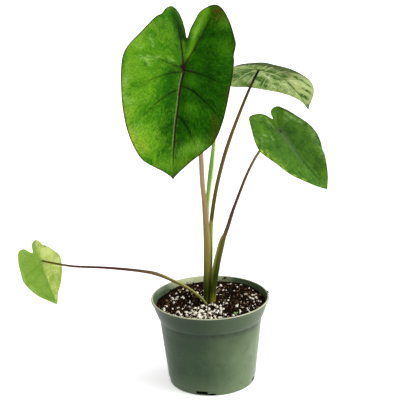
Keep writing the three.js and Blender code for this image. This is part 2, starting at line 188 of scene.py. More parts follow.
def spread(tree, value, low, high, fromLow=0.0, fromHigh=1.0):
    inputs = {0: value, 1: fromLow, 2: fromHigh, 3: low, 4: high}
    return addNode(tree, "ShaderNodeMapRange", inputs).outputs[0]


def cloud(tree, where, scale, detail=3.0, rough=0.5, twist=0.0):
    inputs = {"Vector": where, "Scale": scale, "Detail": detail, "Roughness": rough}
    inputs["Distortion"] = twist
    return addNode(tree, "ShaderNodeTexNoise", inputs).outputs[0]


def measure(tree, name):
    return addNode(tree, "ShaderNodeAttribute", attribute_name=name).outputs["Fac"]


def markShown(tree, name, amount):
    return times(tree, measure(tree, name), amount)


def objectSpace(tree):
    return addNode(tree, "ShaderNodeTexCoord").outputs["Object"]


def stretched(tree, where, scale):
    return addNode(tree, "ShaderNodeMapping", {0: where, 3: scale}).outputs[0]


def lengthOf(tree, vector):
    inputs = {0: vector}
    return addNode(tree, "ShaderNodeVectorMath", inputs, operation="LENGTH").outputs["Value"]


def newMaterial(name, roughness, specular):
    material = bpy.data.materials.new(name)
    material.use_nodes = True
    tree = material.node_tree
    tree.nodes.clear()
    shader = addNode(tree, "ShaderNodeBsdfPrincipled")
    shader.inputs["Roughness"].default_value = roughness
    shader.inputs["Specular IOR Level"].default_value = specular
    output = addNode(tree, "ShaderNodeOutputMaterial", {0: shader.outputs[0]})
    return material, tree, shader, output


def addBump(tree, shader, height, distance, strength):
    inputs = {"Strength": strength, "Distance": distance * mm, "Height": height}
    made = addNode(tree, "ShaderNodeBump", inputs)
    tree.links.new(made.outputs[0], shader.inputs["Normal"])


def leafMaterial(name, look):
    # every mark on the blade comes from what was measured on the mesh: how close a point
    # is to the ribs, the side veins and the margin, and which face it is on
    material, tree, shader, output = newMaterial(name, look["roughness"], look["specular"])
    where = objectSpace(tree)
    flat = addNode(tree, "ShaderNodeUVMap", uv_map="UVMap").outputs[0]
    patches = cloud(tree, where, look["patch"], 3.0, 0.55, 0.5)
    grain = cloud(tree, where, 260, 3.0, 0.7)
    # streaks that fan out from the joint, where the flat blade's own coordinates start
    way = addNode(tree, "ShaderNodeVectorMath", {0: flat}, operation="NORMALIZE").outputs[0]
    away = lengthOf(tree, flat)
    way = addNode(tree, "ShaderNodeVectorMath", {0: way, 1: (62, 62, 0)}, operation="MULTIPLY")
    out = addNode(tree, "ShaderNodeCombineXYZ", {2: times(tree, away, 15.0)}).outputs[0]
    fan = addNode(tree, "ShaderNodeVectorMath", {0: way.outputs[0], 1: out}, operation="ADD")
    streaks = cloud(tree, fan.outputs[0], 1.0, 3.0, 0.6, 0.3)
    cells = addNode(tree, "ShaderNodeTexVoronoi", {"Vector": where, "Scale": 420.0})
    cells.feature = "DISTANCE_TO_EDGE"
    # tint spots lift or deepen the tone, partly real tint, partly painted light and shade; where
    # they lift it they also take off the half's painted shade
    tint = measure(tree, "tint")
    # patches, streaks and grain, each with its share of the tone
    tone = times(tree, patches, look["mix"][0])
    for part, amount in zip((streaks, grain), look["mix"][1:]):
        tone = plus(tree, tone, times(tree, part, amount))
    tone = plus(tree, tone, tint)
    tone = spread(tree, tone, 0, 1, 0.5 - look["soft"], 0.5 + look["soft"])
    # painted shade on the half that turns from the light, partly across its width, partly at the
    # midrib; on the low leaf that half is painted lighter instead, as if lit through
    side = markShown(tree, "half", look["side"])
    half = spread(tree, side, 0, 1 - look["sideStep"], *look["sideFrom"])
    half = plus(tree, half, spread(tree, side, 0, look["sideStep"], -0.03, 0.05))
    half = sums(tree, "SUBTRACT", half, times(tree, tint, look["tintLightShow"]), True)
    top = blendColor(tree, tone, look["deep"], look["bright"])
    topLightAndShade = blendColor(tree, tone, look["topLightAndShadeDeep"], look["topLightAndShade"])
    top = blendColor(tree, half, top, topLightAndShade)
    # deeper green along the ribs and side veins, more on the shaded half: partly the veins' own
    # colour, partly painted shade in the hollows beside them
    near = markShown(tree, "near", spread(tree, half, *look["nearShow"]))
    top = blendColor(tree, near, top, blendColor(tree, half, look["deep"], look["topLightAndShadeDeep"]))
    # painted light along the margin, mostly on the half that faces the light
    edge = markShown(tree, "edge", spread(tree, patches, 0, 1, 0.42, 0.6))
    edge = times(tree, edge, spread(tree, half, *look["edgeGlow"]))
    # painted glints in spots along the margin
    gild = markShown(tree, "gild", spread(tree, grain, 0.3, 1.3, 0.4, 0.6))
    top = layered(tree, top, look, [
        (edge, "glow"),
        # painted glints where the fanning streaks run high
        (spread(tree, streaks, 0, 0.35, 0.58, 0.76), "glintStreak"),
        (times(tree, gild, 1.0, True), "gild"),
    ])
    fine = markShown(tree, "fine", look["fineShow"])
    lines = sums(tree, "MAXIMUM", fine, markShown(tree, "vein", look["veinShow"]))
    top = blendColor(tree, lines, top, look["vein"], "MULTIPLY")
    scorch = markShown(tree, "scorch", spread(tree, grain, 0.4, 1.2, 0.35, 0.6))
    # pale streaks, partly painted sheen by the right leaf's joint and painted light on the crests
    # of the back leaf's underside
    pale = markShown(tree, "pale", spread(tree, streaks, 0, 1, 0.4, 0.6))
    top = layered(tree, top, look, [
        (markShown(tree, "rib", look["ribShow"]), "rib"),
        # a painted sheen beside the midrib
        (markShown(tree, "gleam", look["gleamShow"]), "gleam"),
        (times(tree, scorch, 1.0, True), "scorch"),
        (times(tree, pale, look["paleShow"]), "pale"),
    ])
    # the underside's turned half: painted shade, and on the low leaf painted light where that half
    # is lit through
    low = blendColor(tree, tone, look["underDeep"], look["under"])
    lowShade = blendColor(tree, tone, look["underLightAndShadeDeep"], look["underLightAndShade"])
    low = blendColor(tree, half, low, lowShade)
    # dark blotches, partly painted shade in the hollows of the back leaf's underside
    blotch = markShown(tree, "blotch", spread(tree, grain, 0.3, 1.5, 0.4, 0.6))
    lines = sums(tree, "MAXIMUM", measure(tree, "vein"), times(tree, fine, 0.6))
    low = layered(tree, low, look, [
        (times(tree, blotch, 1.0, True), "blotch"),
        (pale, "pale"),
        (times(tree, lines, look["underLines"]), "underSide"),
        (markShown(tree, "rib", 0.7), "underVein"),
    ])
    color = blendColor(tree, measure(tree, "under"), top, low)
    speckle = cloud(tree, where, 480, 2.0, 0.7)
    speckle = spread(tree, speckle, 1 - look["speckle"], 1 + look["speckle"], 0.32, 0.68)
    color = blendColor(tree, 1.0, color, speckle, "MULTIPLY")
    color = blendColor(tree, measure(tree, "rim"), color, look["rim"])
    tree.links.new(color, shader.inputs["Base Color"])
    height = times(tree, cells.outputs["Distance"], 0.7)
    height = plus(tree, height, times(tree, streaks, 0.8))
    addBump(tree, shader, height, 0.25, 0.6)
    through = addNode(tree, "ShaderNodeBsdfTranslucent")
    # on the back leaf the colour seen through its shaded half keeps that half's painted shade
    lit = blendColor(tree, spread(tree, half, *look["litShow"]), color, look["lit"])
    lit = blendColor(tree, times(tree, lines, 0.5), lit, look["vein"], "MULTIPLY")
    tree.links.new(lit, through.inputs["Color"])
    both = addNode(tree, "ShaderNodeMixShader", {0: look["thinness"]})
    tree.links.new(shader.outputs[0], both.inputs[1])
    tree.links.new(through.outputs[0], both.inputs[2])
    tree.links.new(both.outputs[0], output.inputs[0])
    return material


def ribMaterial(name, look):
    material, tree, shader, _ = newMaterial(name, 0.42, 0.2)
    where = objectSpace(tree)
    tone = spread(tree, cloud(tree, where, 120, 2.0), 0, 1, 0.35, 0.65)
    color = blendColor(tree, tone, look["underVein"], look["underRib"])
    # on the low leaf the ribs of its pale half are painted lighter, like the painted light of that
    # half
    side = spread(tree, markShown(tree, "half", look["side"]), 0, 1, 0.0, 0.05)
    side = blendColor(tree, side, look["underSide"], look.get("ribBeyond", look["underSide"]))
    color = blendColor(tree, measure(tree, "main"), side, color)
    tree.links.new(color, shader.inputs["Base Color"])
    addBump(tree, shader, cloud(tree, where, 700, 2.0), 0.1, 0.4)
    return material


def stalkMaterial(name, look):
    # colours change along the stalk, with fibres running its whole length
    material, tree, shader, _ = newMaterial(name, look["roughness"], 0.08)
    uv = addNode(tree, "ShaderNodeUVMap", uv_map="UVMap").outputs[0]
    part = addNode(tree, "ShaderNodeSeparateXYZ", {0: uv})
    stretch = stretched(tree, uv, (34.0, 5.0, 1.0))
    streaks = cloud(tree, stretch, 1.0, 3.0, 0.6)
    broad = cloud(tree, stretched(tree, uv, (9.0, 3.0, 1.0)), 1.0)
    wander = times(tree, sums(tree, "SUBTRACT", broad, 0.5), 0.09)
    along = plus(tree, part.outputs[1], wander)
    color = colorRamp(tree, along, look["along"])
    dark = blendColor(tree, 1.0, color, look["streak"], "MULTIPLY")
    color = blendColor(tree, spread(tree, streaks, look["streakShow"], 0, 0.36, 0.6), color, dark)
    color = blendColor(tree, spread(tree, streaks, 0, 0.35, 0.56, 0.75), color, look["light"])
    shown = spread(tree, part.outputs[1], 0, 1, *look.get("insideFrom", (-1, 0)))
    inside = markShown(tree, "inside", shown)
    color = blendColor(tree, inside, color, look["inside"])
    tree.links.new(color, shader.inputs["Base Color"])
    addBump(tree, shader, streaks, 0.35, 0.6)
    return material


def potMaterial(look):
    material, tree, shader, _ = newMaterial("satinGreenPlastic", 0.36, 0.2)
    where = objectSpace(tree)
    across, deep, height = addNode(tree, "ShaderNodeSeparateXYZ", {0: where}).outputs
    haze = cloud(tree, where, 11, 4.0, 0.6, 0.8)
    rings = stretched(tree, where, (14.0, 14.0, 60.0))
    drawn = cloud(tree, rings, 1.0, 4.0, 0.65, 0.4)
    specks = cloud(tree, where, 330, 2.0, 0.6)
    smudge = cloud(tree, where, 34, 4.0, 0.7, 0.3)
    color = blendColor(tree, spread(tree, haze, 0, 1, 0.34, 0.66), look["body"], look["haze"])
    streaked = cloud(tree, stretched(tree, where, (30.0, 30.0, 5.0)), 1.0, 3.0, 0.6, 0.5)
    # painted light: the pot is lighter towards the right, where the key light falls, with a painted
    # reflection along its left edge
    towardsLight = plus(tree, across, spread(tree, haze, -0.015, 0.015, 0.3, 0.7))
    left = times(tree, spread(tree, across, 0.25, 0, -0.066, -0.054), haze)
    # painted shade under the band: darker up to the band's foot, and a painted shadow under its
    # ledge
    grimeAndShade = times(tree, spread(tree, height, 0, 1, 0.05, 0.0885), haze)
    grimeAndShade = times(tree, grimeAndShade, spread(tree, height, 1, 0, 0.0889, 0.091))
    ledge = spread(tree, height, 0, 0.95, 0.08, 0.0875)
    ledge = times(tree, ledge, spread(tree, height, 1, 0, 0.0895, 0.0925))
    ledge = times(tree, ledge, spread(tree, smudge, 0.35, 1, 0.35, 0.65))
    # painted shade: near black where the slots lead in under the pot
    way = addNode(tree, "ShaderNodeCombineXYZ", {0: across, 1: deep}).outputs[0]
    under = spread(tree, lengthOf(tree, way), 1, 0, 0.0532, 0.0546)
    under = times(tree, under, spread(tree, height, 1, 0, 0.0062, 0.007))
    color = layered(tree, color, look, [
        (spread(tree, streaked, 0, 0.5, 0.45, 0.7), "grimeAndShade"),
        (spread(tree, towardsLight, 0, 1, *look["paintedLightFrom"]), "paintedLight"),
        (left, "paintedLight"),
        (spread(tree, drawn, 0, 0.22, 0.48, 0.75), "scuff"),
        (spread(tree, smudge, 0, 0.4, 0.52, 0.72), "grimeAndShade"),
        (spread(tree, specks, 0, 0.3, 0.68, 0.76), "dust"),
        (grimeAndShade, "grimeAndShade"),
        (ledge, "shadow"),
        # painted light from the floor, lighter towards the foot
        (spread(tree, height, 0.5, 0, 0.0, 0.03), "floorBounce"),
        # the band painted darker: painted shade
        (spread(tree, height, 0, 0.62, 0.0895, 0.0925), "grimeAndShade"),
        (under, "under"),
        # a painted highlight along the lip
        (spread(tree, height, 0, 1, 0.1132, 0.1142), "lipHighlight"),
    ])
    # inside, the back left is painted lighter where the key light falls on it, and the mix has
    # splashed the wall above it
    behind = sums(tree, "SUBTRACT", times(tree, deep, 0.95), times(tree, across, 0.2))
    litInside = spread(tree, behind, 0, 1, 0.054, 0.069)
    wall = blendColor(tree, litInside, look["inner"], look["innerLit"])
    splash = spread(tree, specks, 0, 1, 0.5, 0.62)
    splash = times(tree, splash, spread(tree, height, 1, 0.1, 0.103, 0.112))
    wall = blendColor(tree, splash, wall, look["splash"])
    color = blendColor(tree, markShown(tree, "inner", 0.9), color, wall)
    tree.links.new(color, shader.inputs["Base Color"])
    rough = spread(tree, haze, 0.3, 0.46, 0.3, 0.7)
    tree.links.new(rough, shader.inputs["Roughness"])
    bump = plus(tree, times(tree, drawn, 0.6), times(tree, specks, 0.25))
    addBump(tree, shader, bump, 0.12, 0.5)
    return material


def grainMaterial(name, look):
    # crumbs, perlite and bark: a tone for each grain, and a rough skin
    material, tree, shader, _ = newMaterial(name, look["roughness"], look.get("specular", 0.4))
    where = objectSpace(tree)
    patch = cloud(tree, where, look["patch"], 1.0)
    skin = cloud(tree, where, look["skin"], 3.0, 0.65)
    color = blendColor(tree, spread(tree, patch, 0, 1, 0.38, 0.62), look["first"], look["second"])
    color = blendColor(tree, spread(tree, skin, look["pits"], 0, 0.3, 0.5), color, look["pit"])
    tree.links.new(color, shader.inputs["Base Color"])
    addBump(tree, shader, skin, look["relief"], 0.8)
    return material


# blades

leafForms = {
    "front": {
        "joint": (-23.8, -45, 424.5),
        "facing": 0,
        "tilt": 25,
        "turn": -7,
        "arch": 0.0022,
        "archGrowth": 0,
        "fold": (0.22, 0.22),
        "curl": (0.0035, 0.0035),
        "twist": 0,
        "wave": (0.8, 7, 0.6),
        "rimWidth": 1.1,
        "outline": [
            (133, 0), (130.4, -3), (126, -10.5), (114, -37), (105, -45.5), (88, -55.5), (70, -62.5),
            (43, -69), (6, -73), (-9, -71.5), (-19, -67), (-40, -51.5), (-57, -38), (-61.5, -32),
            (-68, -28.5), (-72.5, -22), (-70, -16), (-61, -9), (-47, -3), (-35.5, 0.7),
            (-47.5, 3.8), (-58, 8), (-68, 12.5), (-73.5, 18.5), (-78, 27), (-78, 33.5), (-74, 39.5),
            (-60, 49), (-40, 57), (-31, 59.5), (-16, 58.3), (-11, 59.3), (12, 58.5), (40, 56),
            (60, 53), (78, 48), (87, 43.5), (98, 33), (109, 21), (124.5, 6.4), (129.8, 2),
        ],
        "splits": 11,
        "rings": 74,
        "midrib": [
            (0, 0.3), (6, 0.6), (18.2, -1.2), (30.2, -1.8), (49, -2), (63.4, -2.7), (84.6, -2.7),
            (104.7, -2.3), (132.5, 0),
        ],
        "laterals": [
            (0.5, -106, 0.8, 0.5), (6, -62, 0.75, 0.6), (28, -34, 0.8, 0.7), (66, -17, 0.8, 0.45),
            (94, -8.5, 0.7, 0.2), (4, 71, 0.85, 0.9), (22.6, 40.5, 0.95, 1), (58.5, 15, 0.95, 1),
            (88, 7, 0.75, 0.4),
        ],
        "basal": [(-165.5, 0.8, 0.8, (0.6, 0.42)), (157.5, 0.88, 0.6, (0.5, 0.62))],
        "ribWidth": (1.6, 0.7),
        "relief": 1.0,
        "gleam": {"first": 6, "last": 40, "beside": 1.7, "width": (0.6, 0.6)},
        "starburst": 19,
        "jointSpot": 4.0,
        "spots": {
            "scorch": [
                (-68, 36, 11, 0.45), (-72, 32, 3.5, 0.9), (57.5, 43, 80, 47, 5, 0.5),
                (98, 29, 6, 0.35), (86, 42, 6, 0.4), (20, 57, 50, 57, 5, 0.35), (-30, 57, 6, 0.25),
                (131, 0, 2.5, 1),
            ],
            "pale": [
                (-5.6, -52.3, -5.9, -38.1, 2.5, 0.6), (-6.3, -34.6, -9.4, -29, 2, 0.6),
                (1, -41, 2.5, 0.9), (-3, -44, 2, 0.7), (-33, -43, -20, -38.4, 2.2, 0.5),
                (-8.2, -19.4, -5.6, -12, 1.2, 0.7), (-19.5, -57, -17.6, -52.3, 2.5, 0.5),
                (40.7, -68, 47.7, -58, 4, 0.6), (20, -66, 30, -66, 3, 0.5), (78, -50, 6, 0.4),
                (132, 4, 106, 32, 1.3, 0.8), (92, 28, 7, 0.32), (100, 8, 9, 0.2),
                (-34, 8.3, -60, 15.5, 2, 0.35),
            ],
            "tint": [
                (-14, 5, -46, 11, 4, 0.3), (-46, 11, -70, 20, 6, 0.3),
                (-68, -19, -36, -4, 6, -0.22), (14, -15, 98, -8, 11, -0.09), (-48, -32, 13, -0.07),
                (4, -12, 7, -0.06), (60, -40, 16, -0.05), (88, -44, 13, 0.1), (60, -62, 12, 0.1),
                (-20, -60, 12, 0.1), (94, 22, 11, 0.24), (112, 6, 12, 0.16), (97, 11, 7, 0.1),
                (95, -30, 16, 0.06), (48, 14, 8, 0.1), (0, 34, 14, -0.05), (-56, 46, 9, 0.12),
                (-20, 50, 14, 0.06), (1.9, -44.4, 2.4, -0.14), (16, 10, 8, 0.06),
            ],
            "gild": [
                (82.6, -57, 93.5, -50, 5.5, 0.7), (98, -38, 10, 0.4), (60, -63, 74, -60, 3, 0.35),
                (112, 14, 7, 0.25),
            ],
        },
    },
    "back": {
        "joint": (69.7, 50, 399.1),
        "facing": 154.5,
        "tilt": 72,
        "turn": -27,
        "arch": 0.005,
        "archGrowth": 0.000095,
        "fold": (0.51, -0.04),
        "curl": (0.0205, 0.016),
        "twist": 0.001,
        "wave": (0.8, 6, 1.1),
        "rimWidth": 0.6,
        "outline": [
            (102.3, 0), (96.2, -5.1), (82.3, -19.3), (67.5, -32.2), (51, -43), (29.6, -49.4),
            (9, -52), (-5, -52.4), (-19.5, -49.3), (-32.7, -42.2), (-43, -30.2), (-46.5, -19),
            (-46.5, -8), (-44.5, -1.6), (-36, -0.7), (-25, 0), (-36, 0.7), (-44.5, 1.6), (-47, 8),
            (-48, 19), (-42, 29.4), (-30, 40), (-18, 47), (-5, 51.1), (10, 51.6), (31, 48.3),
            (51, 40.5), (68, 30), (82, 17.5), (95, 4.5),
        ],
        "splits": 13,
        "rings": 60,
        "midrib": [(0, 0), (20, -2.5), (45, -1), (70, 1), (102.3, 0)],
        "laterals": [
            (1, -100, 0.9, 0.4), (8, -70, 0.9, 0.5), (25, -42, 0.9, 0.5), (48, -23, 0.9, 0.4),
            (70, -10, 0.85, 0.3), (1, 100, 0.9, 0.4), (8, 68, 0.9, 0.4), (24, 42, 0.9, 0.4),
            (47, 23, 0.9, 0.4), (70, 10, 0.85, 0.3),
        ],
        "basal": [(-158, 0.9, 0.6, (0.6, 0.42)), (158, 0.9, 0.6, (0.6, 0.42))],
        "ribWidth": (1.2, 0.4),
        "relief": 1.2,
        "gleam": {"first": 0, "last": 40, "beside": -1.3, "width": (1.0, 0.7)},
        "starburst": 8,
        "jointSpot": 1.2,
        "spots": {
            "blotch": [
                (-32, 16, -8, 34, 11.9, 0.42), (-14, 13, 0.6, 21.4, 5.4, 1.96),
                (1.3, 21.2, 11, 24.3, 4.8, 2.1), (22, 29, 34.5, 26.8, 4.1, 2.2),
                (15, 45, 23.4, 46.7, 5.4, 0.84), (23.4, 11, 33.4, 8.4, 3.2, 1.54),
                (39, 12.2, 44.6, 10.3, 3.2, 1.68), (39, 35.4, 46.8, 35.1, 4.9, 0.84),
                (36.5, -5, 41.6, -5.3, 2.6, 1.4), (48, -16.6, 53.4, -19.7, 3.2, 1.96),
                (79, -0.2, 87.3, -5.6, 2.4, 1.5), (72, -10.2, 79, -15.5, 2.4, 1.1),
                (57.7, 4, 72.7, 3.5, 2.2, 1.26), (38.3, 2.2, 47.4, 3.7, 1.7, 1.12),
                (14.4, -4.3, 24.6, -4.5, 1.9, 0.84), (60, -22, 68, -26, 2.2, 1.12),
                (12, 34, 22, 36, 2.2, 0.56), (-20, 30, -8, 36, 4.3, 0.84),
                (50, 22, 58, 21, 2.2, 0.7), (99, -1, 3.2, 1.82),
            ],
            "pale": [
                (56.5, 12, 65.7, 12.5, 2, 0.8), (16.3, 13, 40, 19.8, 2.4, 0.8),
                (50.5, -4.1, 63.5, -6.8, 1.8, 0.9), (17.4, 33.2, 29.7, 38, 2.4, 0.7),
                (30, 2, 40, -1, 1.6, 0.8), (64, -12, 74, -20, 1.8, 0.8), (66, 18, 78, 14, 2.2, 0.6),
                (46, 30, 56, 27, 2, 0.6), (8, 12, 16, 18, 1.6, 0.6), (4, 28, 10, 32, 2, 0.5),
            ],
            "tint": [
                (84, -14, 16, 0.45), (72, -24, 15, 0.45), (58, -16, 12, 0.4), (56, -38, 11, 0.4),
                (40, -24, 9, 0.18), (10, 46, 12, -0.06),
            ],
        },
    },
    "right": {
        "joint": (92.5, 0, 331.3),
        "facing": 29,
        "tilt": 34,
        "turn": 32,
        "arch": 0.004,
        "archGrowth": 0,
        "fold": (0.15, 0.15),
        "curl": (0.005, 0.005),
        "twist": 0,
        "wave": (0.7, 6, 2.2),
        "rimWidth": 0.5,
        "outline": [
            (95.8, 0), (93.4, -2.6), (81, -13), (62.5, -24.5), (46, -33), (26, -39), (7.5, -42.8),
            (-3.5, -43), (-18, -36.5), (-31, -26), (-39.7, -16.4), (-38.8, -11), (-33, -1.5),
            (-26, 2.4), (-17, 5), (-21.5, 7.6), (-25.2, 11.4), (-26.3, 16), (-25, 21.3),
            (-22, 24.8), (-16.5, 26.7), (0, 32.8), (19, 37.3), (34, 37.3), (46.4, 33.9), (54, 29.3),
            (61, 27.2), (74, 19.2), (86, 10), (93, 3),
        ],
        "splits": 12,
        "rings": 56,
        "midrib": [(0, 0), (15.2, -2.2), (32.6, -5.4), (48.7, -5.8), (71.1, -4.2), (95.2, 0)],
        "laterals": [
            (1, -104, 0.85, 0.35), (7, -70, 0.8, 0.3), (24, -42, 0.8, 0.3), (47, -22, 0.75, 0.25),
            (66, -10, 0.7, 0.2), (1, 96, 0.85, 0.4), (8, 62, 0.8, 0.3), (26, 38, 0.8, 0.3),
            (49, 20, 0.75, 0.25), (67, 9, 0.7, 0.2),
        ],
        "basal": [(-158, 0.8, 0.45, (0.6, 0.42)), (139, 0.85, 0.4, (0.6, 0.42))],
        "ribWidth": (1.1, 0.35),
        "relief": 0.8,
        "gleam": {"first": 0, "last": 24, "beside": 0.5, "width": (5.4, 1.6)},
        "starburst": 5,
        "jointSpot": 1.2,
        "spots": {
            "scorch": [(-18, 26, -7, 30, 2.2, 1), (4, 35, 3, 0.4), (0, 0, 1.7, 2.2), (95, 0, 2, 1)],
            "gild": [
                (-15.8, -34.8, -11, -37.6, 0.9, 0.6), (-2, -41.4, 3, -42.2, 0.8, 1),
                (8, -41.8, 13, -41.3, 0.8, 1), (21, -40, 25.3, -39, 1.0, 1.1),
                (32, -37, 38, -35, 0.9, 1), (46, -32, 52, -29, 0.9, 0.8),
                (0, -38, 10, -39, 3, 0.14), (18, -36, 32, -33, 3, 0.18),
                (60, -24, 66, -21, 1.1, 0.6), (3, -36, 1, 0.7), (7, -38, 0.8, 0.8),
                (16, -37.5, 1, 0.6), (27, -35, 1, 0.6),
            ],
            "pale": [
                (-24.6, -0.7, -15.5, -3.2, 0.7, 0.8), (-19.4, -2.3, -8.5, -3.5, 0.7, 0.8),
                (-22, -5, -13, -6, 0.7, 0.6), (-3.5, -16.7, 0.8, -17.9, 1.4, 0.9),
                (-12.8, -23.5, -9.3, -21.5, 1.2, 0.8), (-12, -28.8, -7.5, -31.6, 1.3, 0.7),
                (-6, -27, -3, -25, 1.2, 0.6), (-11, 23.4, -2.2, 25.3, 2.2, 0.6),
                (-1.3, 26.4, 12.9, 30.8, 2.6, 0.6), (-8, 17, -2, 19, 1.6, 0.5),
                (-34, -13, -29.4, -3, 0.9, 0.5), (28, 33.5, 43, 28, 3.5, 0.45),
                (50, 27, 58, 25, 2.5, 0.4),
            ],
            "tint": [
                (0, 0, 4, -0.25), (3, 3, 14, 12, 3, -0.12), (-20, 15, 10, 0.3), (6, 24, 11, 0.16),
                (24, 13.5, 39, 22, 4, 0.1), (-28, -12, -18, -18, 6, 0.1), (12, -36, 6, 0.08),
                (66, 4.6, 82, 3, 2.4, -0.12), (84, 6, 9, 0.12), (60, -12, 8, 0.1),
                (12, 22, 30, 32, 3, 0.08), (36, 12, 52, 22, 3, 0.08), (4, 20, 18, 34, 2.2, -0.07),
                (34, 18, 46, 28, 2.2, -0.07), (56, 12, 66, 18, 2.2, -0.07), (10, -22, 7, -0.06),
            ],
        },
    },
    "low": {
        "joint": (-218.6, 30, 158.5),
        "facing": -156,
        "tilt": 8,
        "turn": -15.5,
        "arch": 0.003,
        "archGrowth": 0,
        "fold": (0.12, 0.12),
        "curl": (0.004, 0.004),
        "twist": 0,
        "wave": (0.5, 5, 0.4),
        "rimWidth": 0.4,
        "outline": [
            (67.6, 0), (66, -1.5), (54.5, -6.9), (40.5, -15.8), (25, -22.7), (12.4, -25.5),
            (3, -25.2), (-10.7, -17.7), (-18.6, -12), (-22, -8.2), (-26, -7.5), (-33.5, -1.6),
            (-29, 4.3), (-15.6, 7), (-20.5, 11.2), (-26, 15.8), (-26, 22.5), (-13.5, 27.7),
            (5, 29.6), (18.5, 30.6), (35, 25.4), (47.6, 18.4), (55.2, 12), (65, 2.8),
        ],
        "splits": 13,
        "rings": 44,
        "midrib": [(0, 0), (10.5, 0.8), (26.5, 1), (41, 0.4), (67.6, 0)],
        "laterals": [
            (1, -98, 0.9, 0.5), (6, -62, 0.85, 0.5), (19, -36, 0.85, 0.5), (36, -16, 0.8, 0.35),
            (1, 96, 0.9, 0.6), (6, 62, 0.85, 0.5), (18, 40, 0.85, 0.45), (34, 21, 0.8, 0.35),
        ],
        "basal": [(-172, 0.85, 0.6, (0.6, 0.42)), (140, 0.85, 0.7, (0.6, 0.42))],
        "ribWidth": (0.8, 0.3),
        "relief": 0.6,
        "gleam": {"first": 0, "last": 40, "beside": 1.0, "width": (1.0, 0.7)},
        "starburst": 5,
        "jointSpot": 1.2,
        "spots": {
            "scorch": [(-20, -10.5, -15, -19, 1.2, 0.9)],
            "blotch": [(-22.6, -8, -17.7, -11.6, 1.2, 0.9), (4, -25.5, 30, -21, 0.7, 0.35)],
            "pale": [
                (6, -23, 20, -20, 1.6, 0.9), (-8, -14, 0, -16, 3, 0.5),
                (26, -14, 34, -10, 2.5, 0.5), (30, 24, 44, 18, 1.2, 0.4),
                (4, 27.5, 20, 28.5, 1.0, 0.4),
            ],
            "tint": [
                (-10, -12, 9, 0.16), (8, -14, 9, 0.1), (30, -13, 8, -0.05),
                (2, 16, 34, 16, 9, -0.05), (-20, 16, 6, 0.1), (56, 5, 5, -0.1), (8, 8, 6, -0.06),
            ],
        },
    },
}
bladeThickness = 0.62


def bladeFrame(leaf):
    facing, tilt, turn = (math.radians(leaf[key]) for key in ("facing", "tilt", "turn"))
    flat = math.cos(tilt)
    normal = np.array([math.sin(facing) * flat, -math.cos(facing) * flat, math.sin(tilt)])
    level = np.array([math.cos(facing), math.sin(facing), 0])
    tipward = np.cross(level, normal) * math.cos(turn) + level * math.sin(turn)
    return tipward, np.cross(normal, tipward), normal


def bladePoint(leaf, u, v, lift):
    # u runs down the midrib to the tip and v across; the blade folds along the midrib,
    # its halves curl and the midrib arches
    tipward, across, normal = bladeFrame(leaf)
    at = u[:, None] * (np.arange(12) + 0.5) / 12
    angle = leaf["arch"] * at + leaf["archGrowth"] * at * abs(at) / 2
    along = np.cos(angle).mean(1) * u
    drop = -np.sin(angle).mean(1) * u
    bend = leaf["arch"] * u + leaf["archGrowth"] * u * abs(u) / 2
    fold = np.where(v < 0, *leaf["fold"])
    curl = np.where(v < 0, *leaf["curl"])
    width = abs(v)
    flatAcross = (np.sin(fold) - np.sin(fold - curl * width)) / curl * np.sign(v)
    flatLift = (np.cos(fold - curl * width) - np.cos(fold)) / curl + lift
    twist = leaf["twist"] * u
    side = flatAcross * np.cos(twist) - flatLift * np.sin(twist)
    raised = flatAcross * np.sin(twist) + flatLift * np.cos(twist)
    forward = along + raised * np.sin(bend)
    outward = drop + raised * np.cos(bend)
    place = np.outer(forward, tipward) + np.outer(outward, normal) + np.outer(side, across)
    return np.array(leaf["joint"]) + place


def bladeUp(leaf, u, v):
    # the upper face's direction at each point
    flat = np.zeros(len(u))
    ahead = bladePoint(leaf, u + 0.5, v, flat) - bladePoint(leaf, u - 0.5, v, flat)
    beside = bladePoint(leaf, u, v + 0.5, flat) - bladePoint(leaf, u, v - 0.5, flat)
    return unit(np.cross(ahead, beside))


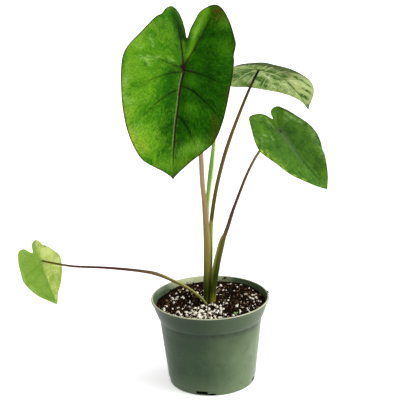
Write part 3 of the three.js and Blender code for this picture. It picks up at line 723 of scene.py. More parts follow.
def leafVeins(leaf):
    # the ribs (midrib and the two that run back into the lobes), the side veins that
    # leave them and curve to the margin, and the short fine veins between those
    margin = smoothPath(leaf["outline"], np.arange(900) / 900, True)
    around = np.degrees(np.arctan2(margin[:, 1], margin[:, 0]))
    steps = np.linspace(0, 1, 15)[:, None]

    def marginAt(angle):
        return margin[np.argmin(abs((around - angle + 180) % 360 - 180))]

    def bowed(start, end, lean):
        middle = start + np.array(lean) * (end - start)
        return start * (1 - steps) ** 2 + 2 * middle * steps * (1 - steps) + end * steps**2

    midrib = smoothPath(leaf["midrib"], np.linspace(0, 0.985, 40))
    wide, thin = leaf["ribWidth"]
    ribs = [(midrib, wide, thin, 1.6)]
    side = []
    for start, angle, reach, show in leaf["laterals"]:
        begin = np.array([start, np.interp(start, midrib[:, 0], midrib[:, 1])])
        line = bowed(begin, marginAt(angle) * reach, (0.04, 0.36))
        side.append((line, wide * 0.62, thin * 1.2, show))
    for angle, reach, show, lean in leaf["basal"]:
        turn = 1 if angle > 0 else -1
        rib = bowed(np.zeros(2), marginAt(angle) * reach, lean)
        ribs.append((rib, wide * 0.75, thin * 0.7, show))
        for knot, out in ((4, 35), (7, 21), (10, 10)):
            end = marginAt(angle - turn * out) * 0.85
            side.append((bowed(rib[knot], end, (0.62, 0.3)), wide * 0.42, thin * 0.6, show * 0.35))
    fine = []
    for line, _, _, _ in ribs[:1] + side:
        count = max(2, int(np.linalg.norm(line[-1] - line[0]) / 6.5))
        for k in range(1, count + 1):
            knot = int(round((len(line) - 2) * (k - 0.4) / count))
            ahead = unit(line[knot + 1] - line[knot])
            for turn in (-1, 1):
                out = np.array([-ahead[1], ahead[0]]) * turn
                end = line[knot] + (ahead * 0.8 + out) * (6.5 + 2 * math.sin(k * 2.3 + turn))
                fine.append((bowed(line[knot], end, (0.4, 0.4))[::3], 0.55, 0.4, 1.0))
    return {"ribs": ribs, "side": side, "fine": fine}


def closeness(points, lines, reach=1.0):
    # up to 1 on a line, falling to 0 over the line's own width and at its far end
    best = np.zeros(len(points))
    for line, wide, thin, show in lines:
        last = len(line) - 1
        for k in range(last):
            a, b = line[k], line[k + 1]
            ab = b - a
            near = (abs(points - (a + b) / 2) < abs(ab) / 2 + 3 * wide * reach).all(1)
            if not near.any():
                continue
            some = points[near]
            t = np.clip((some - a) @ ab / max(ab @ ab, 1e-9), 0, 1)
            away = np.linalg.norm(some - a - t[:, None] * ab, axis=1)
            passed = (k + t) / last
            width = (wide + (thin - wide) * passed) * reach
            strength = show * (1 - passed**5) * np.exp(-((away / width) ** 2))
            best[near] = np.maximum(best[near], np.minimum(strength, 1))
    return best


def bladeMarks(leaf, flat, veins):
    # what the relief and the colours are made from, for points of the flat blade
    margin = smoothPath(leaf["outline"], np.arange(900) / 900, True)
    along = unit(np.roll(margin, -1, 0) - np.roll(margin, 1, 0))
    outward = unit(margin)
    slant = abs(outward[:, 0] * along[:, 1] - outward[:, 1] * along[:, 0])
    around = np.arctan2(margin[:, 1], margin[:, 0])
    angle = np.arctan2(flat[:, 1], flat[:, 0])
    length = np.linalg.norm(flat, axis=1)
    radius = np.interp(angle, *sortedPair(around, np.linalg.norm(margin, axis=1)), period=2 * np.pi)
    slant = np.interp(angle, *sortedPair(around, slant), period=2 * np.pi)
    share = np.clip(length / radius, 0, 1)
    fromMargin = (1 - share) * radius * np.maximum(slant, 0.25)
    size = leaf["outline"][0][0]
    swell = np.array([noise.noise(Vector((a / 17, b / 17, size))) for a, b in flat])
    marks = {
        "fromMargin": fromMargin,
        "swell": swell,
        "rib": closeness(flat, veins["ribs"]),
        "vein": closeness(flat, veins["side"]),
        "fine": closeness(flat, veins["fine"]),
        "near": closeness(flat, veins["ribs"] + veins["side"], 5.5),
    }
    wave, waves, phase = leaf["wave"]
    pucker = closeness(flat, veins["ribs"] + veins["side"], 3.2)
    relief = 0.45 * swell - 0.6 * pucker - 0.35 * marks["rib"]
    relief += -0.25 * marks["vein"] - 0.1 * marks["fine"]
    ripple = wave * share**2 * np.sin(waves * angle + phase)
    # the margin and the joint stay where they are
    flatter = np.clip(fromMargin / 6, 0, 1) * (1 - np.exp(-((length / 7) ** 2)))
    marks["lift"] = ripple + flatter * relief * leaf["relief"]
    return marks


def sortedPair(first, second):
    order = np.argsort(first)
    return first[order], second[order]


def makeBlade(name, leaf, veins, material):
    count = len(leaf["outline"]) * leaf["splits"]
    margin = smoothPath(leaf["outline"], np.arange(count) / count, True)
    rings = leaf["rings"]
    shares = 1 - (1 - np.arange(1, rings + 1) / rings) ** 1.25
    flat = np.vstack([[[0, 0]], *(margin * share for share in shares)])
    u, v = flat.T
    marks = bladeMarks(leaf, flat, veins)
    marks["fromMargin"][-count:] = 0
    up = bladeUp(leaf, u, v)
    middle = bladePoint(leaf, u, v, marks["lift"])
    half = bladeThickness / 2 * np.clip(0.4 + marks["fromMargin"] / 1.5, 0.4, 1)[:, None]
    edge = middle[-count:]
    outward = unit(edge - middle[-2 * count:-count])
    points = np.vstack([middle + up * half, middle - up * half, edge + outward * 0.2])
    below = len(flat)
    last = 1 + (rings - 1) * count
    faces = []
    for i in range(count):
        j = (i + 1) % count
        faces.append((0, 1 + j, 1 + i))
        faces.append((below, below + 1 + i, below + 1 + j))
        for a in range(1, last, count):
            b = a + count
            faces.append((a + i, a + j, b + j, b + i))
            faces.append((below + a + i, below + b + i, below + b + j, below + a + j))
        faces.append((last + i, last + j, 2 * below + j, 2 * below + i))
        faces.append((2 * below + i, 2 * below + j, below + last + j, below + last + i))

    def onAll(values):
        return np.concatenate([values, values, values[-count:]])

    attributes = {key: onAll(marks[key]) for key in ("vein", "fine", "near")}
    # the side veins start as dark as the midrib
    started = np.exp(-((np.linalg.norm(flat, axis=1) / leaf["starburst"]) ** 2))
    knot = np.exp(-((np.linalg.norm(flat, axis=1) / leaf["jointSpot"]) ** 4))
    dark = np.maximum(marks["rib"] * 1.5, marks["vein"] * started) + knot
    attributes["rib"] = onAll(np.clip(dark, 0, 1))
    # a painted sheen beside the midrib
    gleam = leaf["gleam"]
    midrib = veins["ribs"][0][0][gleam["first"]:gleam["last"]]
    line = [(midrib, *gleam["width"], 1.0)]
    attributes["gleam"] = onAll(closeness(flat + [0, gleam["beside"]], line))
    attributes["under"] = np.repeat([0.0, 1.0, 0.5], [below, below, count])
    attributes["half"] = onAll(v / np.abs(leaf["outline"]).max(0)[1])
    attributes["edge"] = onAll(np.exp(-marks["fromMargin"] / 14))
    attributes["rim"] = onAll(np.exp(-((marks["fromMargin"] / leaf["rimWidth"]) ** 2)))
    for key in ("scorch", "blotch", "pale", "tint", "gild"):
        field = np.zeros(len(flat))
        for *ends, radius, strength in leaf["spots"].get(key, []):
            # round, or a streak from one point to another
            start, along = np.array(ends[:2]), np.array(ends[-2:]) - ends[:2]
            t = np.clip((flat - start) @ along / max(along @ along, 1e-9), 0, 1)
            away = np.linalg.norm(flat - start - t[:, None] * along, axis=1)
            field += strength * np.exp(-((away / radius / (1 + 0.35 * marks["swell"])) ** 2))
        attributes[key] = onAll(np.clip(field, -1, 1))
    return makePiece(name, points, faces, [material], attributes, onAll(flat) / 100)


def startTree(name, sockets, result):
    tree = bpy.data.node_groups.new(name, "GeometryNodeTree")
    face = tree.interface
    for key, kind in sockets.items():
        face.new_socket(name=key, in_out="INPUT", socket_type="NodeSocket" + kind)
    face.new_socket(name=result, in_out="OUTPUT", socket_type="NodeSocketGeometry")
    return tree, addNode(tree, "NodeGroupInput").outputs


def endTree(tree, entry, shape):
    real = addNode(tree, "GeometryNodeRealizeInstances", {0: shape}).outputs[0]
    inputs = {"Geometry": real, "Material": entry["Material"]}
    real = addNode(tree, "GeometryNodeSetMaterial", inputs).outputs[0]
    addNode(tree, "NodeGroupOutput", {0: real})
    return tree


def makeTubeTree():
    # tubes that follow lines of edges, as thick as each point of the line says
    sockets = {"Lines": "Geometry", "Sides": "Int", "Material": "Material"}
    tree, entry = startTree("tubesAlongLines", sockets, "Tubes")
    curves = addNode(tree, "GeometryNodeMeshToCurve", {0: entry["Lines"]}).outputs[0]
    thick = addNode(tree, "GeometryNodeInputNamedAttribute", {0: "thick"}, data_type="FLOAT")
    ring = addNode(tree, "GeometryNodeCurvePrimitiveCircle", {"Radius": 1.0}, mode="RADIUS")
    tree.links.new(entry["Sides"], ring.inputs["Resolution"])
    inputs = {"Curve": curves, "Profile Curve": ring.outputs[0], "Scale": thick.outputs[0]}
    tubes = addNode(tree, "GeometryNodeCurveToMesh", {**inputs, "Fill Caps": True}).outputs[0]
    tubes = addNode(tree, "GeometryNodeSetShadeSmooth", {0: tubes}).outputs[0]
    return endTree(tree, entry, tubes)


def runTree(piece, tree, inputs):
    modifier = piece.modifiers.new(tree.name, "NODES")
    modifier.node_group = tree
    for item in tree.interface.items_tree:
        if item.item_type == "SOCKET" and item.in_out == "INPUT" and item.name in inputs:
            modifier[item.identifier] = inputs[item.name]
    return settle(piece)


def makeRibs(name, leaf, veins, tree, material):
    # the ribs stand out on the underside and die into the blade towards the margin
    points, edges, thick, main, half = [], [], [], [], []
    wide = np.abs(leaf["outline"]).max(0)[1]
    for k, (line, first, last, _) in enumerate(veins["ribs"] + veins["side"]):
        u, v = line.T
        lift = bladeMarks(leaf, line, veins)["lift"]
        taper = np.linspace(first, last, len(line)) * 0.72
        taper[-1] *= 0.5
        sink = np.maximum(bladeThickness / 2 + 0.1, taper - 0.12)[:, None]
        at = bladePoint(leaf, u, v, lift) - bladeUp(leaf, u, v) * sink
        edges += [(len(points) + i, len(points) + i + 1) for i in range(len(line) - 1)]
        points += at.tolist()
        thick += (taper * mm).tolist()
        main += [float(k < len(veins["ribs"]))] * len(line)
        half += (v / wide).tolist()
    piece = makePiece(name, points, [], [], {"thick": thick, "main": main, "half": half})
    piece.data.edges.add(len(edges))
    piece.data.edges.foreach_set("vertices", np.array(edges, np.int32).ravel())
    piece.data.update()
    return runTree(piece, tree, {"Sides": 10, "Material": material})


plainUnder = {
    "under": rgb(146, 180, 96), "underDeep": rgb(110, 152, 64), "underLightAndShade": rgb(128, 166, 78),
    "underLightAndShadeDeep": rgb(96, 138, 52), "blotch": rgb(62, 112, 34),
}
leafLooks = {
    "front": {
        "roughness": 0.45, "specular": 0.05, "thinness": 0.25, "patch": 42.0,
        "mix": (0.28, 0.34, 0.38),
        "soft": 0.11, "speckle": 0.24, "paleShow": 1.0, "litShow": (0.5, 0.5),
        "side": 1.0, "sideFrom": (-0.52, 0.06), "sideStep": 0.32, "tintLightShow": 2.2,
        "nearShow": (0.08, 0.3),
        "edgeGlow": (0.6, 0.0),
        "fineShow": 0.3, "veinShow": 1.0, "ribShow": 1.0, "gleamShow": 0.7, "underLines": 0.5,
        "bright": rgb(114, 172, 30), "deep": rgb(44, 122, 4), "topLightAndShade": rgb(38, 104, 0),
        "topLightAndShadeDeep": rgb(8, 54, 0), "glow": rgb(142, 184, 58), "gild": rgb(160, 178, 54),
        "glintStreak": rgb(134, 182, 66),
        "vein": rgb(78, 70, 70), "rib": rgb(44, 22, 20), "rim": rgb(44, 26, 12),
        "gleam": rgb(124, 160, 80), "scorch": rgb(80, 66, 14), "pale": rgb(164, 206, 104),
        **plainUnder, "underVein": rgb(96, 116, 58),
        "underRib": rgb(126, 110, 74), "underSide": rgb(112, 146, 70), "lit": rgb(110, 160, 10),
    },
    "back": {
        "roughness": 0.5, "specular": 0.08, "thinness": 0.3, "patch": 110.0,
        "mix": (0.26, 0.42, 0.32),
        "soft": 0.085, "speckle": 0.16, "paleShow": 0.0, "litShow": (0.45, 0.0),
        "side": -1.0, "sideFrom": (0.06, 0.26), "sideStep": 0.0, "tintLightShow": 2.2,
        "nearShow": (0.4, 0.4),
        "edgeGlow": (0.4, 0.0),
        "fineShow": 0.35, "veinShow": 0.8, "ribShow": 1.0, "gleamShow": 0.5, "underLines": 0.5,
        "bright": rgb(70, 124, 40), "deep": rgb(34, 84, 24), "topLightAndShade": rgb(94, 117, 58),
        "topLightAndShadeDeep": rgb(52, 69, 32), "glow": rgb(120, 150, 56), "glintStreak": rgb(90, 140, 60),
        "vein": rgb(110, 120, 100), "rib": rgb(74, 56, 44), "rim": rgb(96, 104, 56),
        "gleam": rgb(196, 206, 150), "scorch": rgb(92, 76, 28), "pale": rgb(232, 240, 196),
        "under": rgb(202, 218, 142), "underDeep": rgb(106, 142, 48),
        "underLightAndShade": rgb(100, 116, 56),
        "underLightAndShadeDeep": rgb(50, 66, 24), "blotch": rgb(46, 98, 4), "gild": rgb(160, 178, 54),
        "underVein": rgb(86, 120, 42), "underRib": rgb(104, 134, 56),
        "underSide": rgb(196, 212, 146),
        "lit": rgb(168, 200, 56),
    },
    "right": {
        "roughness": 0.45, "specular": 0.06, "thinness": 0.25, "patch": 75.0,
        "mix": (0.26, 0.38, 0.36),
        "soft": 0.13, "speckle": 0.2, "paleShow": 1.0, "litShow": (0.5, 0.5),
        "side": 1.0, "sideFrom": (-0.5, 0.3), "sideStep": 0.35, "tintLightShow": 1.2,
        "nearShow": (0.25, 0.75),
        "edgeGlow": (0.2, 0.3),
        "fineShow": 0.25, "veinShow": 0.7, "ribShow": 0.8, "gleamShow": 0.5, "underLines": 0.5,
        "bright": rgb(85, 133, 32), "deep": rgb(40, 88, 8), "topLightAndShade": rgb(60, 102, 8),
        "topLightAndShadeDeep": rgb(30, 72, 0), "glow": rgb(120, 158, 44), "gild": rgb(168, 200, 56),
        "glintStreak": rgb(108, 152, 62),
        "vein": rgb(130, 140, 110), "rib": rgb(26, 58, 8), "rim": rgb(80, 104, 24),
        "gleam": rgb(98, 126, 70), "scorch": rgb(44, 42, 20), "pale": rgb(144, 182, 104),
        **plainUnder, "underVein": rgb(96, 126, 58),
        "underRib": rgb(110, 120, 70), "underSide": rgb(112, 150, 70), "lit": rgb(110, 150, 20),
    },
    "low": {
        "roughness": 0.5, "specular": 0.08, "thinness": 0.4, "patch": 90.0, "mix": (0.4, 0.3, 0.3),
        "soft": 0.1, "speckle": 0.08, "paleShow": 1.0, "litShow": (0.5, 0.5),
        "side": -1.0, "sideFrom": (-0.05, 0.05), "sideStep": 0.0, "tintLightShow": 0.0,
        "nearShow": (0.3, 0.3),
        "edgeGlow": (0.3, 0.3),
        "fineShow": 0.3, "veinShow": 0.6, "ribShow": 0.7, "gleamShow": 0.3, "underLines": 0.2,
        "bright": rgb(120, 164, 64), "deep": rgb(96, 144, 48), "topLightAndShade": rgb(130, 170, 70),
        "topLightAndShadeDeep": rgb(110, 150, 54), "glow": rgb(150, 186, 80), "glintStreak": rgb(140, 180, 84),
        "vein": rgb(170, 190, 130), "rib": rgb(110, 140, 60), "rim": rgb(150, 176, 84),
        "gleam": rgb(170, 190, 110), "scorch": rgb(84, 78, 50), "pale": rgb(236, 240, 170),
        "under": rgb(152, 188, 82), "underDeep": rgb(128, 168, 60),
        "underLightAndShade": rgb(222, 230, 142),
        "underLightAndShadeDeep": rgb(152, 182, 66), "gild": rgb(200, 206, 80),
        "blotch": rgb(84, 80, 44), "underVein": rgb(120, 156, 56),
        "underRib": rgb(150, 180, 80), "underSide": rgb(126, 164, 62),
        "ribBeyond": rgb(200, 212, 122),
        "lit": rgb(190, 216, 80),
    },
}


# stalks: each row of a path is x, y, z, radius, and how much of a clasping sheath it is

stalkForms = {
    "front": {
        "open": (0, 1, 0),
        "path": [
            (-4.4, 8, 97, 4.2, 1), (-4, 8, 120, 4.5, 1), (-3, 8, 145, 4.6, 1),
            (-2.2, 8, 170, 4.5, 1), (-2.1, 7.6, 195, 4.3, 0.9), (-3, 3.6, 222, 3.6, 0.1),
            (-4, 0, 245, 3.2, 0), (-5.6, -4, 268, 3.1, 0), (-6.3, -10, 300, 3.1, 0),
            (-7.4, -17, 330, 3, 0), (-11, -26, 362, 2.9, 0), (-17, -37, 398, 2.7, 0),
            (-26, -48.5, 431, 2.5, 0),
        ],
        "look": {
            "roughness": 0.55, "streakShow": 0.55,
            "along": [
                (0.0, rgb(120, 118, 30)), (0.035, rgb(66, 80, 10)), (0.085, rgb(50, 66, 0)),
                (0.13, rgb(72, 86, 18)), (0.175, rgb(114, 114, 44)), (0.25, rgb(132, 124, 58)),
                (0.36, rgb(144, 130, 72)), (0.45, rgb(156, 130, 90)), (0.6, rgb(166, 140, 108)),
                (1.0, rgb(146, 114, 86)),
            ],
            "streak": rgb(150, 132, 112), "light": rgb(196, 170, 134), "inside": rgb(110, 122, 48),
        },
    },
    "back": {
        "open": (0, 1, 0),
        "path": [
            (-0.6, 15.2, 97, 2.8, 0), (0.2, 15.2, 130, 3, 0), (1.8, 15.2, 165, 3, 0),
            (3, 15.2, 197, 2.8, 0), (5, 15.4, 217, 2.6, 0), (12.4, 18, 257.4, 2.45, 0),
            (25.4, 23, 303, 2.4, 0), (43, 32, 347, 2, 0), (60.8, 44, 384.4, 1.6, 0),
            (72.5, 52, 404, 1.4, 0),
        ],
        "look": {
            "roughness": 0.4, "streakShow": 0.6,
            "along": [
                (0.0, rgb(50, 62, 8)), (0.09, rgb(50, 64, 6)), (0.15, rgb(98, 114, 30)),
                (0.22, rgb(136, 144, 56)), (0.41, rgb(158, 164, 70)), (0.43, rgb(92, 88, 28)),
                (0.55, rgb(112, 100, 36)), (0.75, rgb(122, 96, 42)), (0.84, rgb(86, 72, 26)),
                (0.9, rgb(34, 38, 4)), (1.0, rgb(16, 24, 0)),
            ],
            "streak": rgb(104, 92, 60), "light": rgb(172, 146, 84), "inside": rgb(176, 180, 110),
        },
    },
    "right": {
        "open": (-0.75, 0.66, 0),
        "path": [
            (2.3, 4.2, 97, 4.1, 0.7), (2.9, 4.8, 110, 4.2, 0.8), (3.9, 5.1, 121, 4.4, 0.9),
            (5.4, 5.5, 132, 4.7, 1), (6.9, 5.9, 143, 4.9, 1), (8.4, 6.2, 151, 5, 1),
            (9.9, 6.6, 159, 4.9, 1), (11.9, 7, 167, 4.7, 1), (13.9, 7.3, 175, 4.6, 1),
            (16, 7.4, 183, 4.4, 1), (18.3, 7.5, 190.5, 3.9, 0.8), (20.8, 7.3, 196.4, 3.1, 0.4),
            (22.6, 7.2, 200.4, 2.7, 0.1), (25.2, 7, 207, 2.45, 0), (27.8, 6.7, 215.2, 2.35, 0),
            (30.3, 6.4, 223.3, 2.2, 0), (35.1, 6, 236.6, 1.95, 0), (54.2, 6, 283.4, 1.7, 0),
            (69.8, 5, 309.2, 1.6, 0), (95, -1, 334.5, 1.5, 0),
        ],
        "look": {
            "roughness": 0.55, "streakShow": 0.5, "insideFrom": (0.13, 0.27),
            "along": [
                (0.0, rgb(156, 148, 58)), (0.04, rgb(132, 128, 36)), (0.1, rgb(62, 74, 6)),
                (0.2, rgb(40, 54, 0)), (0.34, rgb(62, 70, 8)), (0.42, rgb(86, 84, 26)),
                (0.54, rgb(96, 82, 42)), (0.62, rgb(92, 68, 48)), (0.8, rgb(86, 58, 42)),
                (0.86, rgb(92, 66, 48)), (0.9, rgb(120, 98, 66)), (0.95, rgb(148, 134, 88)),
                (1.0, rgb(150, 140, 92)),
            ],
            "streak": rgb(120, 96, 80), "light": rgb(146, 112, 84), "inside": rgb(160, 168, 76),
        },
    },
    "low": {
        "open": (0.7, 0.1, 0.7),
        "path": [
            (-1.4, -0.8, 99, 2.2, 0.3), (-9.4, -1.6, 111.8, 2.4, 0.5), (-27.8, 1, 127, 2.8, 0.5),
            (-47.9, 4, 137.5, 3.1, 0.4), (-68.1, 7, 145, 2.6, 0.1), (-88.6, 10, 148.3, 2, 0),
            (-133.6, 18, 151.1, 1.6, 0), (-179.5, 25, 152.2, 1.4, 0), (-222, 31, 159.2, 1.3, 0),
        ],
        "look": {
            "roughness": 0.42, "streakShow": 0.5,
            "along": [
                (0.0, rgb(140, 128, 54)), (0.1, rgb(150, 152, 70)), (0.3, rgb(126, 124, 54)),
                (0.42, rgb(110, 92, 54)), (0.6, rgb(104, 76, 60)), (0.72, rgb(86, 44, 38)),
                (0.87, rgb(82, 38, 32)), (0.9, rgb(78, 74, 12)), (1.0, rgb(96, 98, 12)),
            ],
            "streak": rgb(140, 116, 92), "light": rgb(188, 172, 126), "inside": rgb(190, 190, 120),
        },
    },
}
rolledLeaf = {
    "open": (0, 1, 0),
    "spiral": 0.12,
    "path": [
        (-4.4, 8.3, 97, 2.1, 0), (-3, 8.3, 145, 2.2, 0), (-1.9, 8.9, 190, 2.2, 0),
        (-1.2, 10, 215, 2.3, 0), (-0.2, 10.6, 233, 2.5, 0), (2.3, 10.4, 256, 3.1, 0),
        (4.7, 10, 273.5, 3.6, 0), (7.2, 9.4, 292, 3.3, 0), (10.4, 8.6, 318, 2.5, 0),
        (14.8, 7, 350, 0.6, 0),
    ],
    "look": {
        "roughness": 0.45, "streakShow": 0.4,
        "along": [
            (0.0, rgb(150, 170, 90)), (0.5, rgb(140, 176, 86)), (0.7, rgb(112, 158, 64)),
            (1.0, rgb(140, 172, 92)),
        ],
        "streak": rgb(200, 206, 160), "light": rgb(190, 206, 136), "inside": rgb(204, 218, 148),
    },
}


def sweepStalk(name, stalk, material, leaf=None):
    # the section is round where there is no sheath, and a gutter where there is one,
    # open towards where the younger stalks grow
    sides = 20
    ring = sides * 2
    rows = np.array(stalk["path"], float)
    share = np.linspace(0.16 / (len(rows) - 1), 1, 200)
    centre = smoothPath(rows[:, :3], share)
    knots = np.arange(len(rows)) / (len(rows) - 1)
    radius = np.interp(share, knots, rows[:, 3])[:, None]
    sheath = np.interp(share, knots, rows[:, 4])[:, None]
    tangent = unit(np.gradient(centre, axis=0))
    towards = np.array(stalk["open"], float)
    backward = unit(towards - (tangent @ towards)[:, None] * tangent)
    sideways = np.cross(tangent, backward)
    reach = np.radians(90 + 22 * sheath)
    spiral = stalk.get("spiral", 0)
    outer = np.arange(sides)
    angle = reach * (2 * outer / (sides - 1) - 1)
    grow = radius * (1 - spiral * outer / ring)
    forward, lateral = grow * np.cos(angle), grow * np.sin(angle)
    part = 1 - 2 * (outer + 1) / (sides + 1)
    grow = radius * (1 - spiral * (sides + outer) / ring)
    inner = radius * (0.72 + 0.2 * abs(part) ** 3)
    closed = np.pi / 2 * part
    backForward = -grow * np.cos(closed) * (1 - sheath) + inner * np.cos(reach * part) * sheath
    backLateral = grow * np.sin(closed) * (1 - sheath) + inner * np.sin(reach * part) * sheath
    forward = np.hstack([forward, backForward])[..., None]
    lateral = np.hstack([lateral, backLateral])[..., None]
    points = centre[:, None] - backward[:, None] * forward + sideways[:, None] * lateral
    if leaf:
        # it ends flat against the blade
        normal = bladeFrame(leaf)[2]
        above = (points - np.array(leaf["joint"])) @ normal
        kept = int(np.argmax(above.min(1) > 0)) + 1
        climb = (tangent @ normal)[:, None]
        points = (points - tangent[:, None] * (np.maximum(above, 0) / climb)[..., None])[:kept]
        share, radius, sheath = share[:kept], radius[:kept], sheath[:kept]
    rowsOf = len(share)
    points = points.reshape(-1, 3)
    faces = []
    for i in range(rowsOf - 1):
        for k in range(ring):
            a, b = i * ring + k, i * ring + (k + 1) % ring
            faces.append((a, b, b + ring, a + ring))
    for start, turned in ((0, True), ((rowsOf - 1) * ring, False)):
        for k in range(sides - 1):
            a, b = start + k, start + k + 1
            c, d = start + ring - 2 - k, start + ring - 1 - k
            faces.append((a, d, c, b) if turned else (a, b, c, d))
    uv = np.zeros((rowsOf, ring, 2))
    around = np.arange(ring) / ring
    uv[..., 0] = np.minimum(around, 1 - around) * 2 * radius.mean() / 3
    uv[..., 1] = share[:, None]
    inside = np.zeros((rowsOf, ring))
    inside[:, sides:] = sheath
    inside[:, sides - 5:sides] = sheath * (0.15, 0.4, 0.75, 0.95, 1)
    inside[:, 0] = sheath[:, 0] * 0.8
    if spiral:
        # the outer edge of the roll shows its paler back
        inside[:, :7] = inside[:, -3:] = np.clip((share[:, None] - 0.4) / 0.1, 0, 1)
    return makePiece(name, points, faces, [material], {"inside": inside.ravel()}, uv.reshape(-1, 2))


# pot

potForm = {
    "profile": [
        (0, 0), (34, 0), (37, 2.6), (48.5, 2.6), (51, 0), (54.2, 0), (55.5, 1.3), (56, 7.4),
        (57.3, 9), (58.4, 21), (61.4, 47), (64.4, 74), (65.9, 87.6), (66.3, 88.8), (67.1, 89.8),
        (67.9, 91.2), (70.6, 98.6), (73.2, 106), (75.1, 111.5), (76.2, 112.1), (76.2, 113.7),
        (75.6, 114.3), (74, 114.3), (73.5, 113.7), (71.6, 107.5), (69.3, 100), (66.7, 91.6),
        (64.9, 89.6), (62.5, 68), (60, 45.5), (57.6, 24), (55.6, 8.6), (54, 4.4), (36, 4.4),
        (33, 1.8), (0, 1.8),
    ],
    "turns": 168,
    "innerWall": ([4, 8.6, 89.6, 91.6, 113.7], [54, 55.6, 64.9, 66.7, 73.5]),  # heights and radii
    # each drainage slot is a deep cut with a lower one beside it: from, to, bottom and top
    "slots": {"first": -9, "cuts": [(-12.6, 2.4, 1.8, 6.2), (3, 12.4, 0.5, 3.4)]},
    "under": rgb(10, 13, 8), "shadow": rgb(24, 38, 22), "body": rgb(39, 60, 37),
    "haze": rgb(51, 73, 45), "scuff": rgb(74, 94, 64),
    "paintedLightFrom": (-0.02, 0.06), "paintedLight": rgb(100, 117, 83), "grimeAndShade": rgb(32, 48, 30),
    "dust": rgb(118, 132, 106), "floorBounce": rgb(98, 115, 84), "lipHighlight": rgb(194, 194, 166),
    "inner": rgb(78, 96, 68), "innerLit": rgb(204, 208, 164), "splash": rgb(40, 34, 22),
}


def makePot(form):
    turns = form["turns"]
    profile = form["profile"]
    angles = np.arange(turns) * 2 * np.pi / turns
    points, faces = [], []
    starts = []
    for r, z in profile:
        starts.append(len(points))
        if r == 0:
            points.append((0, 0, z))
        else:
            points += [(r * math.cos(a), r * math.sin(a), z) for a in angles]
    for k in range(len(profile) - 1):
        a, b = starts[k], starts[k + 1]
        for i in range(turns):
            j = (i + 1) % turns
            if profile[k][0] == 0:
                faces.append((a, b + j, b + i))
            elif profile[k + 1][0] == 0:
                faces.append((a + i, a + j, b))
            else:
                faces.append((a + i, a + j, b + j, b + i))
    pot = makePiece("potBody", points, faces, [potMaterial(form)])
    slots = form["slots"]
    cutter = bmesh.new()
    for turn in range(4):
        place = Matrix.Rotation(math.radians(slots["first"] + 90 * turn), 4, "Z")
        for left, right, low, high in slots["cuts"]:
            middle = Vector(((left + right) / 2, -53, (low + high) / 2)) * mm
            size = ((right - left) * mm, 14 * mm, (high - low) * mm, 1)
            matrix = place @ Matrix.Translation(middle) @ Matrix.Diagonal(size)
            bmesh.ops.create_cube(cutter, size=1, matrix=matrix)
    tool = addObject("slotCutter", meshFrom("slotCutter", cutter))
    bevel = pot.modifiers.new("softEdges", "BEVEL")
    bevel.width = 0.35 * mm
    bevel.segments = 2
    bevel.limit_method = "ANGLE"
    bevel.angle_limit = math.radians(28)
    cut = pot.modifiers.new("slots", "BOOLEAN")
    cut.operation = "DIFFERENCE"
    cut.solver = "EXACT"
    cut.object = tool
    settle(pot)
    bpy.data.objects.remove(tool)
    co = np.zeros(len(pot.data.vertices) * 3)
    pot.data.vertices.foreach_get("co", co)
    co = co.reshape(-1, 3) / mm
    radius = np.hypot(co[:, 0], co[:, 1])
    wallInside = np.interp(co[:, 2], *form["innerWall"]) + 0.35
    layer = pot.data.attributes.new("inner", "FLOAT", "POINT")
    layer.data.foreach_set("value", ((radius < wallInside) & (co[:, 2] > 3)).astype(np.float32))
    pot.data.set_sharp_from_angle(angle=math.radians(32))
    return pot


# potting mix

soilForm = {
    "height": 104,
    "tilt": 0.05,
    "turns": 200,
    "rings": 66,
    "floor": 4.8,
    "look": {
        "roughness": 0.95, "patch": 120.0, "skin": 520.0, "relief": 1.2, "pits": 0.9,
        "first": rgb(36, 22, 12), "second": rgb(17, 10, 6), "pit": rgb(6, 4, 2), "specular": 0.04,
    },
}


def soilTop(x, y):
    swell = np.sin(x / 13 + 1) * np.cos(y / 17) + 0.6 * np.sin((x + y) / 9)
    return soilForm["height"] + soilForm["tilt"] * (x * 0.5 + y) + 0.8 * swell


def makeSoil(form):
    turns, rings = form["turns"], form["rings"]
    angles = np.arange(turns) * 2 * np.pi / turns
    way = np.stack([np.cos(angles), np.sin(angles)], 1)
    edgeHeight = soilTop(70 * way[:, 0], 70 * way[:, 1])
    edge = np.interp(edgeHeight, *potForm["innerWall"]) - 0.12
    walls = [(52, form["floor"]), (55.2, 10), (64.6, 90.5), (66.9, 93.5)]
    points = [(0, 0, form["floor"])]
    for r, z in walls:
        points += [(r * x, r * y, z) for x, y in way]
    for k in range(rings):
        share = 1 - (k / rings) ** 1.05
        flat = way * (edge * share)[:, None]
        height = soilTop(flat[:, 0], flat[:, 1])
        rough = [
            1.6 * noise.noise(Vector((x / 6, y / 6, 3)))
            + 0.9 * noise.noise(Vector((x / 2.4, y / 2.4, 9)))
            for x, y in flat
        ]
        fade = min(1, k / 3)
        points += [(x, y, z + fade * bump) for (x, y), z, bump in zip(flat, height, rough)]
    points.append((0, 0, soilTop(0, 0)))
    bands = len(walls) + rings
    faces = []
    for i in range(turns):
        j = (i + 1) % turns
        faces.append((0, 1 + j, 1 + i))
        for band in range(bands - 1):
            a = 1 + band * turns
            b = a + turns
            faces.append((a + i, a + j, b + j, b + i))
        top = 1 + (bands - 1) * turns
        faces.append((top + i, top + j, len(points) - 1))
    return makePiece("soilBody", points, faces, [grainMaterial("darkPottingMix", form["look"])])


